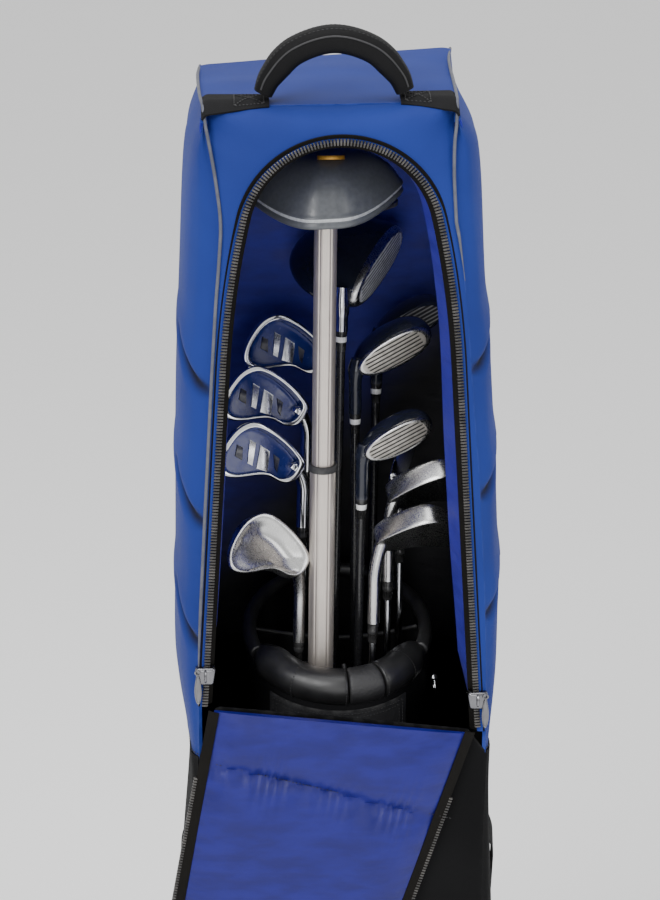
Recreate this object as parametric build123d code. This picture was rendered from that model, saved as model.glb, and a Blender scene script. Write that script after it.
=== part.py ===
"""Wheeled golf travel cover, standing upright with its front flap folded down.

Inside it stand a golf bag with twelve clubs and a telescoping support rod whose
cushioned head is taller than the clubs. Millimetres, +Z up, the front faces -Y,
and the origin is on the floor below the middle of the cover.
"""

import os
from math import atan, cos, degrees, radians, sin, tan

from build123d import *

# ---- cover: the sewn shell ----
cover_height = 1400.0
boot_top = 742.0
boot_half_width = 166.0
waist_half_width = 170.0
crown_half_width = 140.0
cover_half_depth = 148.0
cover_corner = 22.0
cloth = 4.0
seam_gap = 0.4

# ---- cover: rigid base ----
tray_bottom = 14.0
tray_height = 50.0
tray_wall = 4.0
tray_floor = 5.0
tray_inset = 6.0
tray_corner = 30.0
pad_thickness = 32.0
foot_size = (64.0, 34.0)
foot_corner = 8.0
foot_spread = (102.0, 104.0)
rear_foot_spread = (48.0, 104.0)
skid_width = 18.0
skid_thickness = 6.0
skid_bottom = 112.0
skid_top = 610.0
skid_pitch = 74.0

# ---- wheels ----
wheel_diameter = 68.0
wheel_width = 24.0
wheel_floor_gap = 2.0
wheel_x = 116.0
wheel_y = 116.0
hub_diameter = 44.0
bearing_diameter = 22.0
bearing_width = 7.0
axle_diameter = 8.0
axle_fit = 0.1
axle_head_diameter = 14.0
axle_head_height = 4.0
wheel_side_gap = 3.0
bracket_plate = 3.0
bracket_depth = 40.0
well_side_gap = 4.0
well_wall = 3.0
well_clearance = 8.0

# ---- front opening, zip and flap ----
fold_height = 782.0
fold_slope = 7.0
opening_half_width = 141.0
shoulder_half_width = 117.0
shoulder_height = 1150.0
arch_height = 1378.0
chain_width = 5.0
chain_thickness = 5.0
chain_gap = 3.0
axis_offset = 2.0
flap_root = 6.0
flap_chain_start = 58.0
slider_start = 36.0
slider_length = 18.0
slider_plate = 2.0
slider_clearance = 1.0
slider_post = 2.0
slider_post_length = 6.0
tab_offset = 11.0
tab_width = 9.0
tab_length = 38.0
tab_thickness = 2.0
tab_standoff = 5.5
tab_pin_diameter = 2.6
tab_eye = 4.6
knuckle_share = 0.8
slider_travel = 320.0
piping_diameter = 5.0

# ---- top handle ----
handle_y = -112.0
handle_half_span = 68.0
handle_rise = 62.0
handle_tube = 27.0
handle_pivot_height = 10.0
handle_pivot_gap = 1.0
handle_end_diameter = 14.0
patch_length = 46.0
patch_width = 40.0
patch_thickness = 3.0

# ---- golf bag ----
bag_centre = (4.0, 5.0)
bag_half_width = 98.0
bag_half_depth = 104.0
bag_wall = 3.0
bag_bottom = 52.0
bag_floor = 6.0
bag_base_height = 44.0
bag_base_wall = 4.0
bag_base_gap = 0.3
cuff_height = 813.0
cuff_slant = 13.0
cuff_tube = 39.0
cuff_half_width = 84.0
cuff_half_depth = 92.0
rim_tube = 16.0
rim_angle = 28.0
rim_end = 14.0
grip_from = 274.0
grip_to = 296.0
grip_gap = 0.3
cuff_drop = 16.0
web_thickness = 3.0
web_depth = 130.0
web_rows = (-28.5, 33.0)
web_column = 9.0
pocket_depth = 30.0
pocket_half_width = 66.0
pocket_bottom = 150.0
pocket_top = 590.0
side_pocket_depth = 34.0
side_pocket_half_width = 60.0
label_size = (34.0, 26.0)
ring_diameter = 18.0
ring_wire = 3.0

# ---- support rod ----
rod_foot_point = (-25.0, -48.0)
rod_top_point = (-10.0, -45.0)
rod_top_height = 1286.0
rod_joint_height = 1018.0
upper_tube_diameter = 22.4
tube_wall = 1.5
tube_fit = 0.3
lower_tube_diameter = upper_tube_diameter + 2 * (tube_fit + tube_wall)
rod_overlap = 300.0
rod_foot_diameter = 33.0
rod_foot_height = 26.0
collar_height = 7.0
collar_wall = 2.0
button_diameter = 8.0
button_proud = 4.0
button_travel = 2.0
button_flange = 1.5
button_housing = 15.0
spring_wire = 0.8
spring_turns = 2.0
head_half_width = 76.0
head_front = 64.0
head_back = 84.0
head_edge_height = 10.0
head_dome = 46.0
head_wall = 4.0
head_corner = 30.0
head_tip_corner = 42.0
bead_diameter = 5.0
plug_size = (24.0, 14.0)
plug_height = 3.0
hub_socket_height = 26.0
hub_socket_wall = 4.0
rod_travel_up = 30.0
rod_travel_down = 6.0

# ---- clubs ----
lie_rise = 29.0
shaft_diameter = 9.4
hosel_diameter = 13.2
ferrule_diameter = 12.4
ferrule_length = 22.0
grip_length = 267.0
grip_butt_diameter = 26.0
grip_mouth_diameter = 19.0
club_floor_gap = 0.5

# name: (sort, head point x, y, z, butt x, y, toe azimuth)
club_places = {
    "club_driver": ("driver", (10.0, 24.0, 1196.0), (-14.0, 8.0), 56.0),
    "club_fairway_wood": ("fairway", (23.0, 19.0, 1116.0), (22.0, 18.0), 2.0),
    "club_utility_wood": ("hybrid", (50.0, 86.0, 1126.0), (31.0, 56.0), 4.0),
    "club_hybrid": ("hybrid", (29.0, -14.0, 1034.0), (14.0, -14.0), 2.0),
    "club_iron_5": ("iron", (-2.0, 88.0, 1092.0), (2.0, 86.0), 182.0),
    "club_iron_6": ("iron", (-26.0, 48.0, 1048.0), (-44.0, 38.0), 182.0),
    "club_iron_7": ("iron", (-31.0, 10.0, 1000.0), (-50.0, 2.0), 182.0),
    "club_iron_9": ("iron", (71.0, 18.0, 976.0), (64.0, 12.0), 72.0),
    "club_pitching_wedge": ("wedge", (56.0, -15.0, 966.0), (52.0, -22.0), -16.0),
    "club_sand_wedge": ("wedge", (41.0, -46.0, 932.0), (18.0, -60.0), -22.0),
    "club_lob_wedge": ("wedge", (-36.0, -37.0, 908.0), (-56.0, -34.0), 186.0),
}

# woods: head length, depth and height, face lead, neck length
wood_sizes = {
    "driver": (118.0, 104.0, 56.0, 14.0, 52.0),
    "fairway": (88.0, 66.0, 36.0, 9.0, 62.0),
    "hybrid": (80.0, 48.0, 34.0, 8.0, 62.0),
}

# irons: blade length, toe height, heel height, sole width, top width, loft, hosel length
iron_sizes = {
    "iron": (80.0, 54.0, 28.0, 19.0, 6.0, 30.0, 66.0),
    "wedge": (78.0, 60.0, 30.0, 24.0, 5.0, 54.0, 84.0),
}


# ---- derived places ----
upper_height = cover_height - cloth - boot_top
front_face = -cover_half_depth
fold_axis_y = front_face - axis_offset
side_lean = degrees(atan((opening_half_width - shoulder_half_width) / (shoulder_height - fold_height)))
tray_top = tray_bottom + tray_height
wheel_z = wheel_diameter / 2 + wheel_floor_gap
cuff_plane = Plane(origin=(*bag_centre, cuff_height), x_dir=(1, 0, 0),
                   z_dir=(0, -sin(radians(cuff_slant)), cos(radians(cuff_slant))))
rod_foot_z = bag_bottom + bag_floor
rod_lean = (Vector(*rod_top_point, rod_top_height) - Vector(*rod_foot_point, rod_foot_z)).normalized()
rod_plane = Plane(origin=(*rod_foot_point, rod_foot_z), x_dir=(1, 0, 0), z_dir=rod_lean)
rod_length = (Vector(*rod_top_point, rod_top_height) - Vector(*rod_foot_point, rod_foot_z)).length
joint_along = (rod_joint_height - rod_foot_z) / rod_lean.Z


def group(pieces):
    """One node out of several separate solids."""
    return Compound([solid for piece in pieces for solid in piece.solids()])


def fold_z(x):
    """Height of the fold line of the flap at a place across the front."""
    return fold_height - tan(radians(fold_slope)) * x


def half_width(z):
    """Half width of the upper shell at a height."""
    share = (z - boot_top) / upper_height
    return waist_half_width + (crown_half_width - waist_half_width) * share


def hollow_shell(low_half, high_half, bottom, top):
    """Open tube with rounded corners that narrows from one height to another."""
    def block(inset):
        corner = cover_corner - inset
        ends = [
            Pos(0, 0, z) * RectangleRounded(2 * (half - inset), 2 * (cover_half_depth - inset), corner)
            for z, half in ((bottom, low_half), (top, high_half))
        ]
        return loft(ends)
    return block(0) - block(cloth)


def wedge_plate(low_half, high_half, bottom, top, y_from, y_to):
    """Flat plate across the front or back whose sides lean in with the shell."""
    outline = Polygon((-low_half, bottom), (low_half, bottom), (high_half, top), (-high_half, top), align=None)
    plate = Plane.XZ * outline
    return Pos(0, y_to, 0) * extrude(plate, amount=y_to - y_from)


def side_of(shell, low_half, high_half, bottom, top, sign):
    """One side of a shell: what is left outside the flat front and back plates."""
    inner_low = low_half - cover_corner + seam_gap
    inner_high = high_half - cover_corner + seam_gap
    middle = wedge_plate(inner_low, inner_high, bottom, top, -2 * cover_half_depth, 2 * cover_half_depth)
    keep = Pos(sign * cover_half_depth * 2, 0, (bottom + top) / 2) * Box(
        4 * cover_half_depth, 4 * cover_half_depth, 2 * (top - bottom))
    return (shell - middle) & keep


def below_fold(gap):
    """Everything below the sloping fold line, less a gap."""
    reach = 2 * waist_half_width
    outline = Polygon((-reach, 0), (reach, 0), (reach, fold_z(reach) - gap), (-reach, fold_z(-reach) - gap),
                      align=None)
    return extrude(Plane.XZ * outline, amount=reach, both=True)


# ---- opening outline ----
def opening_face(inset):
    """Face of the arched opening, run on below the fold line and drawn in by an inset."""
    slope = tan(radians(side_lean))
    low_z = fold_z(opening_half_width) - opening_half_width
    low = opening_half_width + (fold_height - low_z) * slope
    shoulder = Vector(shoulder_half_width, shoulder_height)
    crown = Vector(0, arch_height)
    rising = Vector(-slope, 1).normalized()
    level = Vector(-1, 0)
    # two arcs that meet where both run the same way, at equal tangent lengths
    chord = crown - shoulder
    turn = 1 - rising.dot(level)
    along = chord.dot(rising + level)
    reach = ((along**2 + 2 * turn * chord.dot(chord)) ** 0.5 - along) / (2 * turn)
    haunch = ((shoulder + rising * reach) + (crown - level * reach)) * 0.5
    lower_arc = TangentArc(shoulder, haunch, tangent=rising)
    upper_arc = TangentArc(haunch, crown, tangent=lower_arc % 1)
    side = Line((low, low_z), shoulder)
    right = [side, lower_arc, upper_arc]
    left = [mirror(edge, about=Plane.YZ) for edge in right]
    face = make_face(right + left + [Line((-low, low_z), (low, low_z))])
    return offset(face, amount=-inset, kind=Kind.INTERSECTION) if inset else face


def front_slab(face, y_from, y_to):
    """Extrude a face drawn across the front between two depths."""
    return Pos(0, y_to, 0) * extrude(Plane.XZ * face, amount=y_to - y_from)


def opened(body):
    """Turn a closed flap piece half a turn about the fold line, so that it hangs open."""
    axis = Axis((0, fold_axis_y, fold_height), (1, 0, -tan(radians(fold_slope))))
    return body.rotate(axis, 180)


def build_cover():
    """The sewn panels of the cover, its piping and straps."""
    parts = {}
    bottom = tray_top + seam_gap
    boot = hollow_shell(boot_half_width, boot_half_width, bottom, boot_top - seam_gap)
    upper = hollow_shell(waist_half_width, crown_half_width, boot_top, cover_height - cloth - seam_gap)
    wells = wheel_boxes(well_side_gap + well_wall + seam_gap, well_clearance + well_wall + seam_gap)
    boot_flat = boot_half_width - cover_corner
    for name, sign in (("left", -1), ("right", 1)):
        panel = side_of(boot, boot_half_width, boot_half_width, bottom, boot_top, sign)
        parts["boot_" + name + "_panel"] = panel - wells
        parts["upper_" + name + "_panel"] = side_of(
            upper, waist_half_width, crown_half_width, boot_top, cover_height, sign)
    back = wedge_plate(boot_flat, boot_flat, bottom, boot_top - seam_gap,
                       cover_half_depth - cloth, cover_half_depth)
    parts["boot_back_panel"] = back - wells
    front_blank = wedge_plate(boot_flat, boot_flat, bottom, fold_z(-boot_flat), front_face, front_face + cloth)
    parts["boot_front_panel"] = front_blank & below_fold(cloth)
    flat_low = waist_half_width - cover_corner
    flat_high = crown_half_width - cover_corner
    top = cover_height - cloth - seam_gap
    parts["upper_back_panel"] = wedge_plate(flat_low, flat_high, boot_top, top,
                                            cover_half_depth - cloth, cover_half_depth)
    blank = wedge_plate(flat_low, flat_high, boot_top, top, front_face, front_face + cloth)
    mouth = front_slab(opening_face(0), 2 * front_face, 0)
    parts["front_surround"] = blank - mouth - below_fold(-seam_gap)
    lid = RectangleRounded(2 * crown_half_width, 2 * cover_half_depth, cover_corner)
    parts["top_panel"] = Pos(0, 0, cover_height - cloth) * extrude(lid, amount=cloth)
    parts["shell_piping"] = build_piping()
    return parts


def build_piping():
    """Two cords of piping along the front edges of the upper shell."""
    radius = piping_diameter / 2
    y = front_face - radius
    low_z = shoulder_height
    high_z = cover_height - radius
    low_x = half_width(low_z) - cover_corner - radius
    high_x = half_width(high_z) - cover_corner - radius
    cords = []
    for sign in (-1, 1):
        path = Line((sign * low_x, y, low_z), (sign * high_x, y, high_z))
        cords.append(sweep(Plane(origin=path @ 0, z_dir=path % 0) * Circle(radius), path=path))
    return group(cords)


# ---- base and wheels ----
def wheel_boxes(side_gap, reach):
    """Clear boxes around both wheels, open behind and below."""
    width = wheel_width + 2 * (wheel_side_gap + bracket_plate + side_gap)
    top = wheel_z + wheel_diameter / 2 + reach
    front = wheel_y - wheel_diameter / 2 - reach
    back = 2 * cover_half_depth
    boxes = [
        Pos(sign * wheel_x, (front + back) / 2, top / 2) * Box(width, back - front, top)
        for sign in (-1, 1)
    ]
    return boxes[0] + boxes[1]


def build_base():
    """The rigid tray, its padding, feet, wheel wells and rails."""
    parts = {}
    half_x = boot_half_width - tray_inset
    half_y = cover_half_depth - tray_inset
    block = extrude(RectangleRounded(2 * half_x, 2 * half_y, tray_corner), amount=tray_height)
    hollow = extrude(
        RectangleRounded(2 * (half_x - tray_wall), 2 * (half_y - tray_wall), tray_corner - tray_wall),
        amount=tray_height)
    outer_well = wheel_boxes(well_side_gap + well_wall, well_clearance + well_wall)
    inner_well = wheel_boxes(well_side_gap, well_clearance)
    tray = Pos(0, 0, tray_bottom) * (block - Pos(0, 0, tray_floor) * hollow)
    inside = Pos(0, 0, tray_bottom + tray_height) * Box(2 * half_x, 2 * half_y, 4 * tray_height)
    room = Pos(0, 0, tray_bottom) * extrude(
        RectangleRounded(2 * half_x, 2 * half_y, tray_corner), amount=2 * tray_height)
    parts["base_tray"] = (tray - outer_well) + ((outer_well - inner_well) & inside & room)
    pad = extrude(
        RectangleRounded(2 * (half_x - tray_wall - seam_gap), 2 * (half_y - tray_wall - seam_gap),
                         tray_corner - tray_wall - seam_gap),
        amount=pad_thickness)
    clear_well = wheel_boxes(well_side_gap + well_wall + seam_gap, well_clearance + well_wall + seam_gap)
    parts["base_pad"] = Pos(0, 0, tray_bottom + tray_floor + seam_gap) * pad - clear_well
    foot = extrude(RectangleRounded(*foot_size, foot_corner), amount=tray_bottom)
    feet = [Pos(sign * foot_spread[0], -foot_spread[1], 0) * foot for sign in (-1, 1)]
    feet += [Pos(sign * rear_foot_spread[0], rear_foot_spread[1], 0) * foot for sign in (-1, 1)]
    feet += [foot]
    parts["base_feet"] = group(feet)
    rail = Box(skid_width, skid_thickness, skid_top - skid_bottom)
    rail = fillet(rail.faces().sort_by(Axis.Y)[-1].edges(), skid_thickness / 3)
    z = (skid_bottom + skid_top) / 2
    rails = [Pos(n * skid_pitch, cover_half_depth + skid_thickness / 2, z) * rail for n in (-1, 0, 1)]
    parts["skid_rails"] = group(rails)
    return parts


def build_wheel(sign):
    """One wheel: tyre, hub, two bearings, axle and bracket."""
    centre = Plane(origin=(sign * wheel_x, wheel_y, wheel_z), z_dir=(1, 0, 0))
    tyre = Cylinder(wheel_diameter / 2, wheel_width) - Cylinder(hub_diameter / 2, wheel_width)
    rims = tyre.edges().filter_by(GeomType.CIRCLE).sort_by(SortBy.RADIUS)[-2:]
    tyre = fillet(rims, wheel_width / 4)
    hub = Cylinder(hub_diameter / 2, wheel_width) - Cylinder(bearing_diameter / 2, wheel_width)
    shoulder = Cylinder(bearing_diameter / 2, wheel_width - 2 * bearing_width) - Cylinder(
        bearing_diameter / 2 - bracket_plate, wheel_width)
    hub += shoulder
    ring = Cylinder(bearing_diameter / 2, bearing_width) - Cylinder(axle_diameter / 2 + axle_fit, bearing_width)
    seat = wheel_width / 2 - bearing_width / 2
    bearings = group([Pos(0, 0, -seat) * ring, Pos(0, 0, seat) * ring])
    half_span = wheel_width / 2 + wheel_side_gap + bracket_plate
    axle = Cylinder(axle_diameter / 2, 2 * half_span)
    for end in (-1, 1):
        cap = Cylinder(axle_head_diameter / 2, axle_head_height - seam_gap)
        axle += Pos(0, 0, end * (half_span + axle_head_height / 2 - seam_gap / 2)) * cap
    cheek_height = wheel_z + wheel_diameter / 2 + well_clearance - wheel_floor_gap
    bracket_bottom = wheel_z - axle_head_diameter / 2 - bracket_plate
    bracket = None
    for end in (-1, 1):
        x = sign * wheel_x + end * (half_span - bracket_plate / 2)
        z = (bracket_bottom + cheek_height) / 2
        cheek = Pos(x, wheel_y, z) * Box(bracket_plate, bracket_depth, cheek_height - bracket_bottom)
        bracket = cheek if bracket is None else bracket + cheek
    roof = Box(2 * half_span, bracket_depth, bracket_plate)
    bracket += Pos(sign * wheel_x, wheel_y, cheek_height - bracket_plate / 2) * roof
    bore = Plane(origin=(sign * wheel_x, wheel_y, wheel_z), z_dir=(1, 0, 0)).location * Cylinder(
        axle_diameter / 2, 4 * half_span)
    side = "left" if sign < 0 else "right"
    turning = {
        "wheel_tyre_" + side: centre.location * tyre,
        "wheel_hub_" + side: centre.location * hub,
        "wheel_bearings_" + side: centre.location * bearings,
    }
    return turning, centre.location * axle, bracket - bore


# ---- zip and flap ----
def build_zip_and_flap():
    """The two halves of the zip and the flap, which hangs open."""
    parts = {}
    y_mid = front_face + cloth / 2
    chain_from = y_mid - chain_thickness / 2
    chain_to = y_mid + chain_thickness / 2
    body_chain = opening_face(seam_gap) - opening_face(chain_width)
    parts["zip_chain_body"] = front_slab(body_chain, chain_from, chain_to) - below_fold(-cloth)
    flap_edge = chain_width + chain_gap
    flap_chain = opening_face(flap_edge) - opening_face(flap_edge + chain_width)
    closed_chain = front_slab(flap_chain, chain_from, chain_to) - below_fold(-flap_chain_start)
    parts["zip_chain_flap"] = opened(closed_chain)
    flap = front_slab(opening_face(flap_edge + chain_width + seam_gap), front_face, front_face + cloth)
    parts["front_flap"] = opened(flap - below_fold(-flap_root))
    return parts


def side_run(sign):
    """Plane at the foot of one side of the zip: Z runs up the teeth, X outwards."""
    lean = radians(side_lean)
    up = Vector(-sign * sin(lean), 0, cos(lean))
    middle = opening_half_width - chain_width - chain_gap / 2
    z = fold_z(sign * middle)
    x = sign * (middle - (z - fold_height) * tan(lean))
    start = Vector(x, front_face + cloth / 2, z) + up * slider_start
    return Plane(origin=start, x_dir=(sign * cos(lean), 0, sin(lean)), z_dir=up)


def tab_pin_place(sign):
    """Place of the pull tab's pin in the frame of the slider's run."""
    front = -sign
    y = chain_thickness / 2 + slider_clearance + slider_plate + tab_standoff - tab_pin_diameter / 2
    z = slider_length / 2 - 1.5 * tab_pin_diameter
    return Vector(tab_offset, front * y, z)


def tab_pin_point(sign):
    """The same place in the frame of the whole cover."""
    run = side_run(sign)
    place = tab_pin_place(sign)
    return run.origin + run.x_dir * place.X + run.y_dir * place.Y + run.z_dir * place.Z


def build_slider(sign):
    """A zip slider with its hanging pull tab."""
    side = "left" if sign < 0 else "right"
    run = side_run(sign)
    across = 2 * chain_width + chain_gap
    lift = chain_thickness / 2 + slider_clearance + slider_plate / 2
    plate = fillet(Box(across, slider_plate, slider_length).edges().filter_by(Axis.Y), slider_plate)
    front = -sign
    slider = Pos(0, lift, 0) * plate + Pos(0, -lift, 0) * plate
    slider += Pos(0, 0, slider_length / 2 - slider_post_length / 2) * Box(
        slider_post, 2 * lift, slider_post_length)
    pin_at = tab_pin_place(sign)
    arm_y = front * (lift + slider_plate / 2 + tab_standoff / 2)
    slider += Pos(0, arm_y, pin_at.Z) * Box(across - 2 * slider_plate, tab_standoff, 2 * tab_pin_diameter)
    pin_reach = tab_offset + tab_width / 2
    pin = Pos(pin_reach / 2, pin_at.Y, pin_at.Z) * (Rot(0, 90, 0) * Cylinder(tab_pin_diameter / 2, pin_reach))
    slider += pin
    tab = Box(tab_width, tab_thickness, tab_length)
    tab = fillet(tab.edges().filter_by(Axis.Y), tab_width / 3)
    tab = Pos(tab_offset, pin_at.Y, pin_at.Z - tab_length / 2 + tab_eye / 2) * tab
    across_x = Rot(0, 90, 0)
    knuckle = Pos(*pin_at) * (across_x * Cylinder(tab_eye / 2, tab_width * knuckle_share))
    bore = Pos(*pin_at) * (across_x * Cylinder(tab_pin_diameter / 2 + axle_fit, 2 * tab_width))
    tab = tab + knuckle - bore
    return {
        "zip_slider_" + side: run.location * slider,
        "pull_tab_" + side: run.location * tab,
    }


# ---- top handle ----
def build_handle():
    """Padded carry handle and the two webbing patches that hold it."""
    radius = handle_tube / 2
    base_z = cover_height + handle_pivot_height
    foot = Vector(handle_half_span, handle_y, base_z)
    crown = Vector(0, handle_y, base_z + handle_rise - radius)
    path = ThreePointArc(foot, crown, Vector(-foot.X, foot.Y, foot.Z))
    tube = sweep(Plane(origin=path @ 0, z_dir=path % 0) * Circle(radius), path=path)
    floor = Pos(0, handle_y, base_z - radius) * Box(4 * handle_half_span, 2 * handle_tube,
                                                    2 * (radius - handle_end_diameter / 2))
    grip = tube - floor
    eye = handle_end_diameter / 2
    parts = {}
    bars = []
    for sign in (-1, 1):
        x = sign * handle_half_span
        hole = Pos(x, handle_y, base_z) * (Rot(0, 90, 0) * Cylinder(
            eye / 2 + handle_pivot_gap, 2 * handle_tube))
        grip -= hole
        outer = x + sign * (radius + handle_pivot_gap + patch_thickness)
        pin_length = 2 * (radius + handle_pivot_gap + patch_thickness)
        bar = Pos(x, handle_y, base_z) * (Rot(0, 90, 0) * Cylinder(eye / 2, pin_length))
        post_height = handle_pivot_height + eye / 2
        post = Box(patch_thickness, eye, post_height)
        post_x = outer - sign * patch_thickness / 2
        bar += Pos(post_x, handle_y, cover_height + post_height / 2) * post
        patch = Box(patch_length, patch_width, patch_thickness)
        patch_x = outer + sign * (patch_length / 2 - patch_thickness)
        bar += Pos(min(patch_x, crown_half_width - patch_length / 2) if sign > 0
                   else max(patch_x, patch_length / 2 - crown_half_width),
                   handle_y, cover_height + patch_thickness / 2) * patch
        bars.append(bar)
    parts["handle_grip"] = grip
    parts["handle_anchors"] = group(bars)
    return parts


# ---- golf bag ----
def oval_tube(grow, bottom, height):
    """Solid oval prism around the golf bag's middle."""
    face = Ellipse(bag_half_width + grow, bag_half_depth + grow)
    return Pos(*bag_centre, bottom) * extrude(face, amount=height)


def above_cuff(drop):
    """Everything above the slanted plane of the cuff, lowered by a drop."""
    reach = 4 * bag_half_width
    return cuff_plane.location * (Pos(0, 0, reach / 2 - drop) * Box(reach, reach, reach))


def cuff_arc(tube, half_x, half_y, start, end):
    """Length of round tube along the oval of the cuff between two angles."""
    arc = cuff_plane.location * EllipticalCenterArc((0, 0), half_x, half_y, start, arc_size=end - start)
    return sweep(Plane(origin=arc @ 0, z_dir=arc % 0) * Circle(tube / 2), path=arc)


def build_golf_bag():
    """The golf bag: oval body, moulded base, slanted cuff, dividers and pockets."""
    parts = {}
    tall = cuff_height - bag_bottom + 2 * cuff_tube
    body_bottom = bag_bottom + bag_floor
    body = oval_tube(0, body_bottom, tall) - oval_tube(-bag_wall, body_bottom, tall)
    parts["bag_body"] = body - above_cuff(cuff_drop)
    cup = oval_tube(bag_base_gap + bag_base_wall, bag_bottom, bag_base_height)
    parts["bag_base"] = cup - oval_tube(bag_base_gap, body_bottom, bag_base_height)
    front_from = 180 + rim_angle
    parts["bag_cuff"] = group([
        cuff_arc(cuff_tube, cuff_half_width, cuff_half_depth, front_from, grip_from),
        cuff_arc(cuff_tube, cuff_half_width, cuff_half_depth, grip_from + grip_gap, grip_to - grip_gap),
        cuff_arc(cuff_tube, cuff_half_width, cuff_half_depth, grip_to, 360 - rim_angle)])
    parts["bag_top_rim"] = cuff_arc(rim_tube, bag_half_width - rim_tube / 4, bag_half_depth - rim_tube / 4,
                                    rim_end - rim_angle, 180 + rim_angle - rim_end)
    parts["bag_dividers"] = build_dividers(cuff_tube / 2)
    parts["bag_pockets"] = group([build_front_pocket(), build_side_pocket()])
    parts["bag_trim"] = build_bag_trim()
    return parts


def build_dividers(drop):
    """Webs across the mouth of the golf bag, sewn to its wall."""
    top = cuff_height
    z = top - web_depth / 2
    wide = 4 * bag_half_width
    webs = Pos(0, web_rows[0], z) * Box(wide, web_thickness, 2 * web_depth)
    webs += Pos(0, web_rows[1], z) * Box(wide, web_thickness, 2 * web_depth)
    column = wide / 2
    webs += Pos(web_column, web_rows[0] - column / 2, z) * Box(web_thickness, column, 2 * web_depth)
    slab = above_cuff(drop + web_depth) - above_cuff(drop)
    return webs & slab & oval_tube(-bag_wall - seam_gap, bag_bottom, 2 * top)


def build_front_pocket():
    """Closed accessory pocket on the front of the golf bag."""
    height = pocket_top - pocket_bottom
    deep = bag_half_depth + pocket_depth
    block = Pos(bag_centre[0], bag_centre[1] - deep / 2, pocket_bottom + height / 2) * Box(
        2 * pocket_half_width, deep, height)
    block = fillet(block.faces().sort_by(Axis.Y)[0].edges(), pocket_depth / 2)
    return block - oval_tube(seam_gap, 0, cover_height)


def build_side_pocket():
    """Closed garment pocket on the left side of the golf bag."""
    height = pocket_top - pocket_bottom
    deep = bag_half_width + side_pocket_depth
    block = Pos(bag_centre[0] - deep / 2, bag_centre[1], pocket_bottom + height / 2) * Box(
        deep, 2 * side_pocket_half_width, height)
    block = fillet(block.faces().sort_by(Axis.X)[0].edges(), side_pocket_depth / 2)
    return block - oval_tube(seam_gap, 0, cover_height) - build_front_pocket_room()


def build_front_pocket_room():
    """The front pocket's block with a gap, so that both pockets stay apart."""
    deep = bag_half_depth + pocket_depth
    return Pos(bag_centre[0], bag_centre[1] - deep / 2, cover_height / 2) * Box(
        2 * (pocket_half_width + seam_gap), deep, cover_height)


def build_bag_trim():
    """A blank label under the cuff and a ring on the right of the bag."""
    y = bag_centre[1] - bag_half_depth
    z = cuff_height - cuff_tube - sin(radians(cuff_slant)) * bag_half_depth - label_size[1]
    slab = Pos(label_size[0] / 2, y, z) * Box(label_size[0], bag_wall * 4, label_size[1])
    label = slab & (oval_tube(web_thickness / 2, 0, cover_height) - oval_tube(seam_gap / 4, 0, cover_height))
    x = bag_centre[0] + bag_half_width + ring_wire
    ring = Torus(ring_diameter / 2, ring_wire / 2)
    ring_z = cuff_height - cuff_tube - ring_diameter
    ring = Pos(x, bag_centre[1] - bag_half_depth / 5, ring_z) * (Rot(0, 90, 0) * ring)
    return group([label, ring])


# ---- support rod ----
def along_rod(body, distance):
    """Place a piece that was built upright at a distance up the rod."""
    return rod_plane.location * (Pos(0, 0, distance) * body)


def tube_between(diameter, start, end):
    """Round tube with the rod's wall between two distances up the rod."""
    length = end - start
    tube = Cylinder(diameter / 2, length) - Cylinder(diameter / 2 - tube_wall, length)
    return along_rod(tube, (start + end) / 2)


def head_outline(inset):
    """Rounded three-cornered outline of the rod's head, its narrow corner to the front."""
    corners = [(0, -head_front - head_tip_corner / 3), (head_half_width + 8, head_back * 0.28),
               (head_half_width * 0.72, head_back * 0.78), (-head_half_width * 0.72, head_back * 0.78),
               (-head_half_width - 8, head_back * 0.28)]
    shape = make_face(Polyline(*corners, close=True))
    shape = fillet(shape.vertices().sort_by(Axis.Y)[0], head_tip_corner)
    sides = shape.vertices().filter_by(lambda v: v.Y > 0)
    shape = fillet(sides, head_corner)
    return offset(shape, amount=-inset, kind=Kind.ARC) if inset else shape


def dome_cap(inset, edge_height):
    """Solid dome over the head's outline: straight edge below, ball above."""
    ball_radius = (head_half_width**2 + head_dome**2) / (2 * head_dome) + head_half_width * 0.12
    block = extrude(head_outline(inset), amount=edge_height + head_dome)
    ball = Pos(0, head_back / 8, edge_height + head_dome - inset - ball_radius) * Sphere(ball_radius)
    return block & ball


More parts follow.
